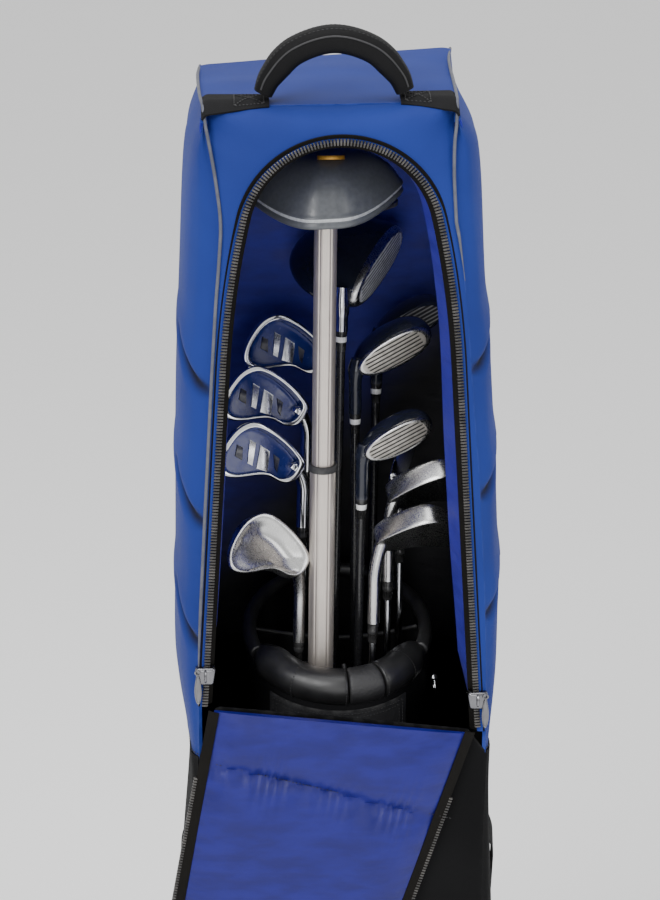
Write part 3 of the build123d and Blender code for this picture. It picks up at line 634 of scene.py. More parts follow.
@dataclass(frozen=True)
class WovenCloth(Finish):
    """Woven polyester with threads, faded high spots, painted shade along its folds and a soft nap."""
    faded: Colour = (0.5, 0.5, 0.5)
    pitch: float = 0.0011
    sheen: float = 0.3
    relief: float = 0.5
    specular: float = 0.2

    def material(self) -> bpy.types.Material:
        """Build the cloth's material."""
        sheet, shader, material = self.begin()
        place, solid = self.kept_place(sheet, "cloth"), self.object_place(sheet)
        weave = self.effect(sheet, Effect.WEAVE, place, Pitch=self.pitch, Unevenness=0.5)
        dust = self.effect(sheet, Effect.DUST, solid, Amount=0.05, Scale=28.0)
        wear = self.effect(sheet, Effect.WEAR, solid, Amount=0.35, Scale=90.0)
        cloud = sheet.spread(sheet.noise(solid, 9.0, 4.0), 0.3, 0.72)
        tone = sheet.math("ADD", sheet.math("MULTIPLY", cloud, 0.45),
                          sheet.math("MULTIPLY", weave.outputs["Tone"], 0.5), clamp=True)
        colour = sheet.mixed(tone, self.colour, self.faded)
        pale = tuple(min(1.0, 1.3 * c + 0.02) for c in self.faded)
        colour = sheet.mixed(sheet.math("MAXIMUM", dust.outputs["Mask"], wear.outputs["Mask"]), colour, pale)
        # Painted shade: the "fold" mask darkens the cloth along its creases and slits.
        fold = sheet.axes(self.kept_place(sheet, "fold"))[0]
        dark = tuple(c * 0.12 for c in self.colour)
        sheet.wire(sheet.mixed(fold, colour, dark), shader.inputs["Base Color"])
        shader.inputs["Sheen Weight"].default_value = self.sheen
        shader.inputs["Sheen Roughness"].default_value = 0.4
        shader.inputs["Specular IOR Level"].default_value = self.specular
        self.bump(sheet, shader, weave.outputs["Height"], self.relief, 0.0003)
        return material


@dataclass(frozen=True)
class SatinLining(Finish):
    """Thin shiny lining, with optional painted shade that turns it black low down and towards its right side."""
    # Darker colour painted into the pucker hollows as shade.
    shade: Colour = (0.02, 0.02, 0.2)
    # Height where the painted shade turns the lining black; zero or less leaves it out.
    painted_shade_below: float = -1.0
    fade: float = 0.1

    def material(self) -> bpy.types.Material:
        """Build the lining's material."""
        sheet, shader, material = self.begin()
        place, solid = self.kept_place(sheet, "cloth"), self.object_place(sheet)
        weave = self.effect(sheet, Effect.WEAVE, place, Pitch=0.0007, Unevenness=0.25)
        pucker = sheet.noise(sheet.stretched(solid, (1.0, 1.0, 3.0)), 26.0, 5.0)
        tone = sheet.math("ADD", sheet.math("MULTIPLY", sheet.spread(pucker, 0.3, 0.7), 0.6),
                          sheet.math("MULTIPLY", weave.outputs["Tone"], 0.25), clamp=True)
        # Painted shade and highlight: the pucker hollows take the darker shade colour and the crests the lighter one.
        colour = sheet.mixed(tone, self.shade, self.colour)
        # Painted shade: black low down and towards the right, for the shade deep inside the cover.
        if self.painted_shade_below > 0:
            x, _, z = sheet.axes(solid)
            level = sheet.math("SUBTRACT", z, sheet.math("MULTIPLY", x, 1.1))
            low = sheet.spread(level, self.painted_shade_below - self.fade, self.painted_shade_below + self.fade, 1.0, 0.0)
            colour = sheet.mixed(low, colour, (0.006, 0.006, 0.008))
        sheet.wire(colour, shader.inputs["Base Color"])
        rough = sheet.spread(pucker, 0.2, 0.8, self.rough - 0.06, self.rough + 0.1)
        sheet.wire(rough, shader.inputs["Roughness"])
        shader.inputs["Specular IOR Level"].default_value = 0.28
        shader.inputs["Sheen Weight"].default_value = 0.03
        shader.inputs["Sheen Roughness"].default_value = 0.3
        height = sheet.math("ADD", pucker, sheet.math("MULTIPLY", weave.outputs["Height"], 0.06))
        self.bump(sheet, shader, height, 0.35, 0.003)
        return material


@dataclass(frozen=True)
class Vinyl(Finish):
    """Grained vinyl or soft plastic with rubbed edges."""
    grain: float = 1100.0
    relief: float = 0.35
    worn: Colour = (0.12, 0.12, 0.125)
    specular: float = 0.5

    def material(self) -> bpy.types.Material:
        """Build the vinyl's material."""
        sheet, shader, material = self.begin()
        solid = self.object_place(sheet)
        grain = self.effect(sheet, Effect.GRAIN, solid, Scale=self.grain)
        wear = self.effect(sheet, Effect.WEAR, solid, Amount=0.55, Scale=70.0)
        dust = self.effect(sheet, Effect.DUST, solid, Amount=0.12, Scale=40.0)
        lighter = tuple(min(1.0, c * 1.7 + 0.004) for c in self.colour)
        colour = sheet.mixed(grain.outputs["Tone"], self.colour, lighter)
        colour = sheet.mixed(sheet.math("MAXIMUM", wear.outputs["Mask"], dust.outputs["Mask"]), colour, self.worn)
        sheet.wire(colour, shader.inputs["Base Color"])
        rough = sheet.spread(grain.outputs["Tone"], 0.3, 0.7, self.rough - 0.07, self.rough + 0.07)
        sheet.wire(rough, shader.inputs["Roughness"])
        shader.inputs["Specular IOR Level"].default_value = self.specular
        self.bump(sheet, shader, grain.outputs["Height"], self.relief, 0.0003)
        return material


@dataclass(frozen=True)
class Metal(Finish):
    """Plated or anodised metal with fine brushing and rubbed edges."""
    streak: tuple[float, float, float] = (1.0, 1.0, 0.03)
    dull: Colour = (0.3, 0.3, 0.3)
    coat: float = 0.0
    relief: float = 0.08
    brightness: float = 1.0

    def material(self) -> bpy.types.Material:
        """Build the metal's material."""
        sheet, shader, material = self.begin()
        solid = self.object_place(sheet)
        lines = sheet.noise(sheet.stretched(solid, self.streak), 1400.0, 2.0)
        cloud = sheet.noise(solid, 45.0, 3.0)
        wear = self.effect(sheet, Effect.WEAR, solid, Amount=0.5, Scale=120.0)
        tone = sheet.math("ADD", sheet.math("MULTIPLY", lines, 0.35),
                          sheet.math("MULTIPLY", sheet.spread(cloud, 0.3, 0.75), 0.35), clamp=True)
        colour = sheet.mixed(tone, self.colour, self.dull)
        colour = sheet.mixed(wear.outputs["Mask"], colour, tuple(min(1.0, c * 1.25) for c in self.colour))
        sheet.wire(colour, shader.inputs["Base Color"])
        rough = sheet.spread(lines, 0.25, 0.8, max(0.03, self.rough - 0.06), self.rough + 0.08)
        sheet.wire(rough, shader.inputs["Roughness"])
        shader.inputs["Metallic"].default_value = self.brightness
        shader.inputs["Coat Weight"].default_value = self.coat
        self.bump(sheet, shader, lines, self.relief, 0.0002)
        return material


@dataclass(frozen=True)
class ScoredFace(Finish):
    """Club face with straight score lines across it, read from the club's own coordinates."""
    line: Colour = (0.02, 0.02, 0.02)
    pitch: float = 0.0042
    edge: float = 0.032
    metallic: float = 0.75

    def material(self) -> bpy.types.Material:
        """Build the face's material."""
        sheet, shader, material = self.begin()
        local = self.kept_place(sheet, "own")
        x, _, z = sheet.axes(local)
        phase = sheet.math("FRACT", sheet.math("DIVIDE", sheet.math("ADD", z, 1.0), self.pitch))
        groove = sheet.spread(sheet.math("ABSOLUTE", sheet.math("SUBTRACT", phase, 0.5)), 0.27, 0.36, 1.0, 0.0)
        inside = sheet.spread(sheet.math("ABSOLUTE", x), self.edge - 0.002, self.edge, 1.0, 0.0)
        cut = sheet.math("MULTIPLY", sheet.math("SUBTRACT", 1.0, groove), inside)
        cloud = sheet.noise(local, 160.0, 4.0)
        colour = sheet.mixed(sheet.spread(cloud, 0.3, 0.7), self.colour, tuple(c * 0.7 for c in self.colour))
        sheet.wire(sheet.mixed(cut, colour, self.line), shader.inputs["Base Color"])
        sheet.wire(sheet.spread(cloud, 0.2, 0.8, self.rough - 0.05, self.rough + 0.12), shader.inputs["Roughness"])
        shader.inputs["Metallic"].default_value = self.metallic
        self.bump(sheet, shader, sheet.math("SUBTRACT", 1.0, cut), 0.5, 0.0005)
        return material


@dataclass(frozen=True)
class Webbing(Finish):
    """Ribbed woven strap or tape."""
    rib: float = 0.0022
    relief: float = 0.8

    def material(self) -> bpy.types.Material:
        """Build the strap's material."""
        sheet, shader, material = self.begin()
        place = self.kept_place(sheet, "cloth")
        weave = self.effect(sheet, Effect.WEAVE, place, Pitch=self.rib, Unevenness=0.3)
        cloud = sheet.noise(self.object_place(sheet), 60.0, 3.0)
        tone = sheet.math("MULTIPLY", weave.outputs["Tone"], cloud, clamp=True)
        lighter = tuple(min(1.0, c * 2.2 + 0.002) for c in self.colour)
        sheet.wire(sheet.mixed(tone, self.colour, lighter), shader.inputs["Base Color"])
        shader.inputs["Sheen Weight"].default_value = 0.0
        shader.inputs["Specular IOR Level"].default_value = 0.12
        self.bump(sheet, shader, weave.outputs["Height"], self.relief, 0.0006)
        return material


# ---------------------------------------------------------------- finishes of this object
BLUE_CLOTH = WovenCloth("blue polyester", (0.0045, 0.0150, 0.125), 0.68, faded=(0.0085, 0.028, 0.20), sheen=0.02)
BLACK_CLOTH = WovenCloth("black polyester", (0.0015, 0.0015, 0.0018), 0.8, faded=(0.005, 0.005, 0.0055), pitch=0.0013,
                         sheen=0.0, specular=0.10)
BAG_CLOTH = WovenCloth("golf bag nylon", (0.003, 0.003, 0.0035), 0.6, faded=(0.008, 0.008, 0.009), pitch=0.0012,
                       sheen=0.0, specular=0.15)
FLAP_SATIN = SatinLining("quilted satin", (0.0085, 0.0085, 0.165), 0.40, shade=(0.0035, 0.0035, 0.09))
# The inner lining goes black low down and to the right as painted shade.
INNER_SATIN = SatinLining("inner lining", (0.035, 0.040, 0.42), 0.5, shade=(0.016, 0.018, 0.25), painted_shade_below=1.02,
                          fade=0.10)
STRIP_SATIN = SatinLining("mouth facing", (0.026, 0.026, 0.29), 0.45, shade=(0.013, 0.013, 0.19))
PIPING_CORD = WovenCloth("piping", (0.045, 0.048, 0.065), 0.55, faded=(0.10, 0.105, 0.13), pitch=0.0016, sheen=0.05)
ZIP_TAPE = Webbing("zip tape", (0.0030, 0.0025, 0.0020), 0.8, rib=0.0013)
ZIP_TEETH = Vinyl("zip teeth", (0.012, 0.011, 0.010), 0.28, grain=600.0, relief=0.1, worn=(0.07, 0.065, 0.06))
BLACK_WEBBING = Webbing("black webbing", (0.004, 0.004, 0.0045), 0.7)
HANDLE_CLOTH = WovenCloth("handle cloth", (0.0015, 0.0015, 0.0018), 0.6, faded=(0.006, 0.006, 0.0065), pitch=0.0017,
                          sheen=0.0, relief=0.8, specular=0.12)
THREAD = Vinyl("black thread", (0.008, 0.008, 0.009), 0.55, grain=2500.0, relief=0.3, worn=(0.02, 0.02, 0.022))
CUFF_VINYL = Vinyl("cuff vinyl", (0.007, 0.007, 0.0075), 0.36, grain=500.0, relief=0.12, worn=(0.04, 0.04, 0.042))
GRIP_VINYL = Vinyl("hand grip vinyl", (0.010, 0.010, 0.011), 0.52, grain=420.0, relief=1.0, worn=(0.06, 0.06, 0.06))
MOULDED = Vinyl("moulded black", (0.012, 0.012, 0.013), 0.5, grain=1600.0, relief=0.3)
RUBBER = Vinyl("black rubber", (0.010, 0.010, 0.011), 0.65, grain=1300.0, relief=0.3, worn=(0.06, 0.06, 0.06))
TYRE = Vinyl("tyre", (0.014, 0.014, 0.015), 0.7, grain=900.0, relief=0.5, worn=(0.07, 0.065, 0.06))
WHEEL_CORE = Vinyl("wheel core", (0.09, 0.09, 0.10), 0.4, grain=1500.0, relief=0.15, worn=(0.2, 0.2, 0.2))
SOFT_SHELL = Vinyl("soft touch shell", (0.050, 0.054, 0.060), 0.36, grain=2200.0, relief=0.12,
                   worn=(0.12, 0.12, 0.125))
BEAD = Vinyl("rim bead", (0.26, 0.27, 0.28), 0.3, grain=1800.0, relief=0.1, worn=(0.4, 0.4, 0.4))
BRONZE = Metal("bronze plug", (0.42, 0.22, 0.03), 0.4, dull=(0.30, 0.15, 0.02), brightness=0.5)
CHAMPAGNE = Metal("champagne anodised", (0.62, 0.565, 0.515), 0.46, dull=(0.50, 0.45, 0.405), relief=0.05,
                  brightness=0.8)
STEEL = Metal("zinc plate", (0.6, 0.6, 0.61), 0.3, dull=(0.4, 0.4, 0.42))
GUNMETAL = Metal("slider metal", (0.20, 0.20, 0.21), 0.22, dull=(0.09, 0.09, 0.10))
CHROME = Metal("polished chrome", (0.72, 0.73, 0.75), 0.13, dull=(0.5, 0.51, 0.53), relief=0.03)
SATIN_CHROME = Metal("satin chrome", (0.58, 0.58, 0.57), 0.27, dull=(0.40, 0.40, 0.40), relief=0.12)
SHAFT_STEEL = Metal("shaft steel", (0.55, 0.56, 0.58), 0.16, dull=(0.35, 0.36, 0.38), relief=0.03)
GRAPHITE = Vinyl("graphite shaft", (0.008, 0.008, 0.009), 0.16, grain=2600.0, relief=0.04, worn=(0.05, 0.05, 0.05))
WHITE_BAND = Vinyl("white ferrule band", (0.72, 0.72, 0.70), 0.3, grain=1500.0, relief=0.05, worn=(0.8, 0.8, 0.8))
FERRULE = Vinyl("black ferrule", (0.010, 0.010, 0.010), 0.18, grain=1500.0, relief=0.05)
CLUB_GRIP = Vinyl("club grip", (0.012, 0.012, 0.012), 0.7, grain=700.0, relief=0.8)
BADGE_BLUE = Vinyl("badge blue", (0.006, 0.014, 0.11), 0.22, grain=900.0, relief=0.08, worn=(0.1, 0.13, 0.3))
BADGE_SILVER = Metal("badge silver", (0.66, 0.67, 0.70), 0.3, dull=(0.45, 0.46, 0.5), relief=0.1)
BADGE_DARK = Vinyl("badge dark", (0.012, 0.013, 0.03), 0.3, grain=900.0, relief=0.1)
CROWN_PAINT = Vinyl("crown paint", (0.006, 0.008, 0.016), 0.12, grain=1800.0, relief=0.03, worn=(0.1, 0.1, 0.12))
FACE_GOLD = ScoredFace("warm scored face", (0.50, 0.47, 0.43), 0.34)
FACE_STEEL = ScoredFace("steel scored face", (0.72, 0.73, 0.75), 0.36, pitch=0.0046, edge=0.044, metallic=0.12)
FACE_DARK = ScoredFace("dark scored face", (0.035, 0.036, 0.04), 0.3, line=(0.3, 0.3, 0.3), metallic=0.4)


class Wardrobe:
    """Builds each finish once and dresses pieces with it."""

    def __init__(self) -> None:
        """Start with no finish built."""
        self.made: dict[str, bpy.types.Material] = {}

    def material(self, finish: Finish) -> bpy.types.Material:
        """Give a finish's material, building it the first time."""
        if finish.name not in self.made:
            self.made[finish.name] = finish.material()
        return self.made[finish.name]

    def dress(self, piece: bpy.types.Object, *finishes: Finish) -> bpy.types.Object:
        """Give a piece its materials, in the order of its faces' numbers."""
        if piece.data.materials and len(finishes) == 1:
            for index in range(len(piece.material_slots)):
                piece.material_slots[index].material = self.material(finishes[0])
            return piece
        numbers = np.empty(len(piece.data.polygons), np.int32)
        piece.data.polygons.foreach_get("material_index", numbers)
        piece.data.materials.clear()
        for finish in finishes:
            piece.data.materials.append(self.material(finish))
        paint_faces(piece, np.minimum(numbers, len(finishes) - 1))
        return piece


WARDROBE = Wardrobe()


def settle(piece: bpy.types.Object, body: str, finishes: Sequence[Finish],
           stands_for: Sequence[str] = (), degrees: float = 50.0) -> bpy.types.Object:
    """Finish a piece: shade it, dress it, let it ride and hide the CAD nodes that it stands for.

    Args:
        piece: The mesh object.
        body: Body that it moves with.
        finishes: Its finishes, in the order of its faces' numbers.
        stands_for: CAD nodes that it replaces.
        degrees: Edges sharper than this stay sharp.

    Returns:
        The same object.
    """
    smooth(piece, degrees)
    WARDROBE.dress(piece, *finishes)
    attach(piece, body)
    if stands_for:
        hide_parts(*stands_for)
    LOG.info("%s on %s, %d faces", piece.name, body, len(piece.data.polygons))
    return piece


def without_fold_shade(piece: bpy.types.Object) -> bpy.types.Object:
    """Keep an empty mask of painted fold shade on a piece whose cloth has none, and return the piece."""
    keep_attribute(piece, "fold", np.zeros((len(piece.data.vertices), 3)))
    return piece


def numbered(piece: bpy.types.Object, finishes: Sequence[Finish], number: int) -> None:
    """Give a piece its finishes and let one of them cover it, before it is joined to others."""
    for finish in finishes:
        piece.data.materials.append(WARDROBE.material(finish))
    paint_faces(piece, np.full(len(piece.data.polygons), number))


def joined(name: str, pieces: Sequence[bpy.types.Object]) -> bpy.types.Object:
    """Join meshes into one piece with a name."""
    deselect_all()
    for piece in pieces:
        piece.select_set(True)
    bpy.context.view_layer.objects.active = pieces[0]
    if len(pieces) > 1:
        bpy.ops.object.join()
    return named(name)


def swollen(node: str, name: str, voxel: float, cap: float, shrink: float = 0.0) -> bpy.types.Object:
    """Copy a soft CAD solid, remesh it and swell it with a short cloth run.

    Args:
        node: The CAD node that is copied.
        name: Name of the new piece.
        voxel: Size of the remeshed faces, in metres.
        cap: Furthest that a point may move, in metres.
        shrink: How much smaller the start is, in metres.

    Returns:
        The new mesh object.
    """
    deselect_all()
    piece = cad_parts[node].copy()
    piece.data = piece.data.copy()
    for key in list(piece.keys()):
        del piece[key]
    bpy.context.scene.collection.objects.link(piece)
    piece.parent = None
    piece.hide_render = piece.hide_viewport = False
    pick(piece)
    piece = named(name)
    piece.data.materials.clear()
    tidy_mesh(piece, 1e-6, outwards=False)
    use_modifier(piece, "REMESH", mode="VOXEL", voxel_size=voxel)
    if shrink:
        use_modifier(piece, "DISPLACE", strength=-shrink, mid_level=0.0)
    start = coordinates(piece)
    pick(piece)
    cloth = piece.modifiers.new("cloth", "CLOTH")
    cloth.settings.use_pressure = True
    cloth.settings.uniform_pressure_force = 4.0
    cloth.settings.quality = 4
    cloth.settings.effector_weights.gravity = 0.0
    scene = bpy.context.scene
    for moment in range(1, 21):
        scene.frame_set(moment)
    bpy.ops.object.modifier_apply(modifier=cloth.name)
    scene.frame_set(1)
    moved = coordinates(piece) - start
    far = np.linalg.norm(moved, axis=1)[:, None]
    place_vertices(piece, start + moved * np.minimum(1.0, cap / np.maximum(far, 1e-9)))
    use_modifier(piece, "SUBSURF", levels=1, render_levels=1)
    places = coordinates(piece)
    place_vertices(piece, places + 0.0006 * ripple(places, 0.05, 5)[:, None])
    keep_attribute(piece, "cloth", cloth_measure(coordinates(piece)))
    return piece


def cloth_measure(places: np.ndarray) -> np.ndarray:
    """Measure along a cloth that is wrapped round an upright form: round it, and up."""
    return np.column_stack([places[:, 0] - places[:, 1], places[:, 2], 0 * places[:, 2]])


# ---------------------------------------------------------------- the cover
@dataclass
class CoverShape:
    """Widths of the sewn cover at each height, and the line of its zip, in metres."""
    left_side: Sequence[tuple[float, float]] = ((0.014, 0.160), (0.08, 0.165), (0.35, 0.167), (0.480, 0.165),
                                                (0.60, 0.161), (0.70, 0.155), (0.745, 0.156), (0.80, 0.163),
                                                (0.85, 0.166), (0.965, 0.163), (1.126, 0.1585), (1.231, 0.1535),
                                                (1.333, 0.148), (1.375, 0.142), (1.40, 0.133))
    right_side: Sequence[tuple[float, float]] = ((0.014, 0.160), (0.08, 0.165), (0.35, 0.165), (0.480, 0.163),
                                                 (0.60, 0.159), (0.70, 0.154), (0.745, 0.155), (0.80, 0.161),
                                                 (0.85, 0.163), (0.965, 0.161), (1.126, 0.153), (1.231, 0.1435),
                                                 (1.333, 0.137), (1.375, 0.131), (1.40, 0.123))
    left_edge: Sequence[tuple[float, float]] = ((0.014, 0.140), (0.60, 0.142), (0.742, 0.143), (0.85, 0.141),
                                                (0.966, 0.1345), (1.062, 0.1285), (1.126, 0.1245), (1.171, 0.1215),
                                                (1.22, 0.118), (1.288, 0.1125), (1.321, 0.114), (1.362, 0.120),
                                                (1.40, 0.127))
    right_edge: Sequence[tuple[float, float]] = ((0.014, 0.140), (0.60, 0.144), (0.742, 0.147), (0.876, 0.144),
                                                 (0.991, 0.1375), (1.048, 0.1335), (1.112, 0.1275), (1.195, 0.1205),
                                                 (1.231, 0.117), (1.28, 0.110), (1.304, 0.106), (1.359, 0.104),
                                                 (1.40, 0.108))
    depth: float = 0.148
    fold_height: float = 0.782
    fold_slope: float = math.radians(7.0)
    mouth_half: float = 0.141
    shoulder: tuple[float, float] = (0.117, 1.150)
    haunch: tuple[float, float] = (0.095, 1.303)
    arch_top: float = 1.378

    @staticmethod
    def leaning(z: np.ndarray) -> np.ndarray:
        """How far the front leans back near the top of the cover."""
        return np.clip((z - 1.30) / 0.10, 0, 1) ** 2 * 0.018

    def fold_z(self, x: np.ndarray) -> np.ndarray:
        """Height of the fold line at a place across."""
        return self.fold_height - math.tan(self.fold_slope) * x

    def across(self, table: Sequence[tuple[float, float]], z: np.ndarray) -> np.ndarray:
        """Read a table of widths smoothly.

        Args:
            table: Pairs of height and width.
            z: Heights to read at.

        Returns:
            A width for each height.
        """
        known = np.array(table)
        fine = curve_points(known, 200)
        return np.interp(z, fine[:, 0], fine[:, 1])

    def section(self, share: np.ndarray, z: np.ndarray) -> tuple[np.ndarray, np.ndarray]:
        """Place on the wrap of sides and back, from the left front edge round to the right one.

        Args:
            share: How far round, from 0 to 1.
            z: Height of each point.

        Returns:
            The x and y of each point.
        """
        left, right = self.across(self.left_side, z), self.across(self.right_side, z)
        left_front, right_front = self.across(self.left_edge, z), self.across(self.right_edge, z)
        d = self.depth
        front = -d + self.leaning(z)
        knots_x = [-left_front, -(left_front * 0.42 + left * 0.58), -(left - 0.003), -left, -(left - 0.002),
                   -(left - 0.012), -(left - 0.040), -left * 0.4, 0 * z, right * 0.4, right - 0.040, right - 0.012,
                   right - 0.002, right, right - 0.003, right_front * 0.42 + right * 0.58, right_front]
        knots_y = [front, -d + 0.014, -d + 0.05, -0.01, 0.085, d - 0.020, d - 0.002, d, d, d, d - 0.002, d - 0.020,
                   0.085, -0.01, -d + 0.05, -d + 0.014, front]
        spot = share * 16
        step = np.minimum(spot.astype(int), 15)
        t = spot - step
        column = np.arange(len(z))

        def blend(knots: Sequence[np.ndarray | float]) -> np.ndarray:
            """Smooth curve through one coordinate's knots."""
            k = np.stack([np.broadcast_to(knot, z.shape) for knot in knots])
            k = np.vstack([2 * k[:1] - k[1:2], k, 2 * k[-1:] - k[-2:-1]])
            a, b, c, e = (k[step + i, column] for i in range(4))
            return 0.5 * (2 * b + (c - a) * t + (2 * a - 5 * b + 4 * c - e) * t**2
                          + (3 * b - a - 3 * c + e) * t**3)

        return blend(knots_x), blend(knots_y)

    def zip_line(self, count: int, inset: float = 0.0) -> np.ndarray:
        """Points along the zip, from the low left up over the arch to the low right.

        Args:
            count: How many points.
            inset: How far inside the zip's own line, in metres.

        Returns:
            Rows of x and z.
        """
        radius = (self.haunch[0] ** 2 + (self.arch_top - self.haunch[1]) ** 2) / (
            2 * (self.arch_top - self.haunch[1]))
        middle = self.arch_top - radius
        turn = math.atan2(self.haunch[1] - middle, self.haunch[0])
        arc = [(radius * math.cos(a), middle + radius * math.sin(a)) for a in np.linspace(turn, math.pi / 2, 24)]
        rise = math.atan2(self.mouth_half - self.shoulder[0], self.shoulder[1] - self.fold_height)
        low = (self.mouth_half - (self.fold_z(np.array(self.mouth_half)) - self.fold_height) * math.tan(rise))
        start = (low, float(self.fold_z(np.array(self.mouth_half))))
        straight = [(start[0] + (self.shoulder[0] - start[0]) * s, start[1] + (self.shoulder[1] - start[1]) * s)
                    for s in np.linspace(0, 1, 12)]
        t = np.linspace(0, 1, 14)[1:-1]
        a, d = np.array(self.shoulder), np.array(self.haunch)
        reach = np.linalg.norm(d - a) / 3
        b = a + reach * np.array([-math.sin(rise), math.cos(rise)])
        c = d - reach * np.array([-math.sin(turn), math.cos(turn)])
        bend = [tuple((1 - s) ** 3 * a + 3 * s * (1 - s) ** 2 * b + 3 * s * s * (1 - s) * c + s**3 * d) for s in t]
        right = np.array(straight + bend + arc)
        left = right[:-1] * np.array([-1.0, 1.0])
        left_low = float(self.fold_z(np.array(-self.mouth_half)))
        left = left[left[:, 1] > left_low]
        left_start = (-(self.mouth_half - (left_low - self.fold_height) * math.tan(rise)), left_low)
        whole = np.vstack([[left_start], left, right[::-1]])
        run = run_along(whole)
        line = points_at(np.linspace(0, run[-1], count), run, whole)
        way = unit(np.gradient(line, axis=0))
        return line + inset * np.column_stack([way[:, 1], -way[:, 0]])

    def folded_down(self, line: np.ndarray) -> np.ndarray:
        """Turn points of the shut flap over the fold line to where they hang when it is open."""
        way = np.array([math.cos(self.fold_slope), -math.sin(self.fold_slope)])
        off = line - np.array([0.0, self.fold_height])
        return 2 * (off @ way)[:, None] * way - off + np.array([0.0, self.fold_height])


SHAPE = CoverShape()
ZIP_POINTS = 400
ARCH_START = 1.285


@dataclass
class SewnCover:
    """The cloth shell: upper wrap, front round the mouth, top, boot, piping and straps."""
    cloth: float = 0.0035
    waist: float = 0.742
    crown: float = 1.400
    roll_back: float = -0.112
    slits_left: Sequence[tuple[float, float, float, float]] = ((-0.146, 1.130, -0.100, 1.185),
                                                              (-0.146, 0.993, -0.102, 1.050),
                                                              (-0.146, 0.864, -0.102, 0.920))
    slits_right: Sequence[tuple[float, float, float, float]] = ((-0.145, 1.148, -0.100, 1.190),
                                                               (-0.145, 1.018, -0.102, 1.062),
                                                               (-0.145, 0.890, -0.102, 0.935))
    corner_drop: float = 0.014
    roll_from: float = 1.362

    def build(self) -> None:
        """Make every piece of the shell."""
        self.upper_wrap()
        self.front()
        self.top()
        self.boot()
        self.facing()
        self.piping()
        self.boot_straps()

    def upper_wrap(self) -> None:
        """Sides and back above the waist, in blue cloth with lining inside."""
        low, high = self.waist - 0.002, self.crown

        def surface(share: np.ndarray, up: np.ndarray) -> np.ndarray:
            """Wrap with folds, slits and a rolled top edge."""
            z = low + (high - low) * up
            x, y = SHAPE.section(share, z)
            side = np.clip(1 - np.abs(y + 0.02) / 0.13, 0, 1) * (np.abs(x) > 0.1)
            out = np.sign(x)
            soft = ripple(np.column_stack([x, y, z * 0.5]), 0.16, 3) * 0.0026
            push = soft * (0.35 + side)
            for slits, hand in ((self.slits_left, -1), (self.slits_right, 1)):
                for y0, z0, y1, z1 in slits:
                    near = (out == hand) & (y < 0.10)
                    fold = crease(y, z, (y0, z0), (y1, z1), 0.0060) * near
                    puff = crease(y, z - 0.020, (y0, z0), (y1 + 0.03, z1), 0.020) * near
                    push += 0.0030 * puff - 0.0085 * fold
            fade = np.clip(np.minimum(share, 1 - share) / 0.022, 0, 1) ** 0.8 * np.clip((1 - up) / 0.03, 0, 1)
            x = x + out * push * fade * (np.abs(x) > 0.1)
            y = y + 0.4 * soft * (y > 0.12)
            rolled = np.clip((z - self.roll_from) / (high - self.roll_from), 0, 1) ** 2 * (np.abs(x) > 0.09)
            left, right = self.top_edges(y)
            x = x * (1 - rolled) + np.where(x < 0, left, right) * rolled
            crown_droop = 0.006 * np.exp(-((x / 0.07) ** 2)) * np.clip((up - 0.97) / 0.03, 0, 1)
            ahead = np.clip((self.roll_back - y) / 0.036, 0, 1)
            sunk = (self.sunk_corner(x, y) + 0.022 * ahead**2) * np.clip((z - 1.30) / 0.10, 0, 1)
            return np.column_stack([x, y, z - crown_droop - sunk])

        piece = shaped_grid("cover_upper", 260, 190, surface, (0.95, high - low))
        places = coordinates(piece)
        # Painted shade: a dark line along each slit's crease, kept as the "fold" mask that darkens the cloth.
        mask = np.zeros(len(places))
        for slits, hand in ((self.slits_left, -1), (self.slits_right, 1)):
            for y0, z0, y1, z1 in slits:
                mask += 1.6 * crease(places[:, 1], places[:, 2], (y0, z0), (y1, z1), 0.0048) * (
                    np.sign(places[:, 0]) == hand) * (np.abs(places[:, 0]) > 0.1)
        keep_attribute(piece, "fold", np.column_stack([np.clip(mask * 0.9, 0, 1)] * 3))
        self.thicken(piece)
        settle(piece, Body.COVER.value, (BLUE_CLOTH, INNER_SATIN),
               ("upper_left_panel", "upper_right_panel", "upper_back_panel"))

    def top_edges(self, y: np.ndarray) -> tuple[np.ndarray, np.ndarray]:
        """Left and right edge of the top panel at a place front to back."""
        back = np.clip((y - self.roll_back) / (SHAPE.depth - self.roll_back), 0, 1)
        corner = 0.043 * np.clip((y - 0.116) / 0.031, 0, 1) ** 2
        return corner - 0.127 - 0.006 * np.sin(np.pi * back * 0.8), 0.108 + 0.019 * back - corner

    def sunk_corner(self, x: np.ndarray, y: np.ndarray) -> np.ndarray:
        """How far the top droops towards its left rear corner."""
        back = np.clip((y - self.roll_back) / (SHAPE.depth - self.roll_back), 0, 1)
        return self.corner_drop * np.clip(0.5 - x / 0.25, 0, 1) * back

    def thicken(self, piece: bpy.types.Object, inner: Finish = INNER_SATIN) -> None:
        """Give a sheet its thickness inwards, its inner side dressed in the second finish."""
        self.face_out(piece)
        numbered(piece, (BLUE_CLOTH, inner), 0)
        use_modifier(piece, "SOLIDIFY", thickness=self.cloth, offset=-1.0, material_offset=1,
                     material_offset_rim=0, use_quality_normals=True)

    @staticmethod
    def face_out(piece: bpy.types.Object) -> None:
        """Turn a sheet's faces over if most of them look at the middle of the cover."""
        middle = np.array([0.0, 0.02, 0.9])
        centres = np.array([f.center for f in piece.data.polygons])
        normals = np.array([f.normal for f in piece.data.polygons])
        flat = (centres - middle) * np.array([1.0, 1.0, 0.35])
        if np.einsum("ij,ij->i", flat, normals).sum() < 0:
            turn_over(piece)

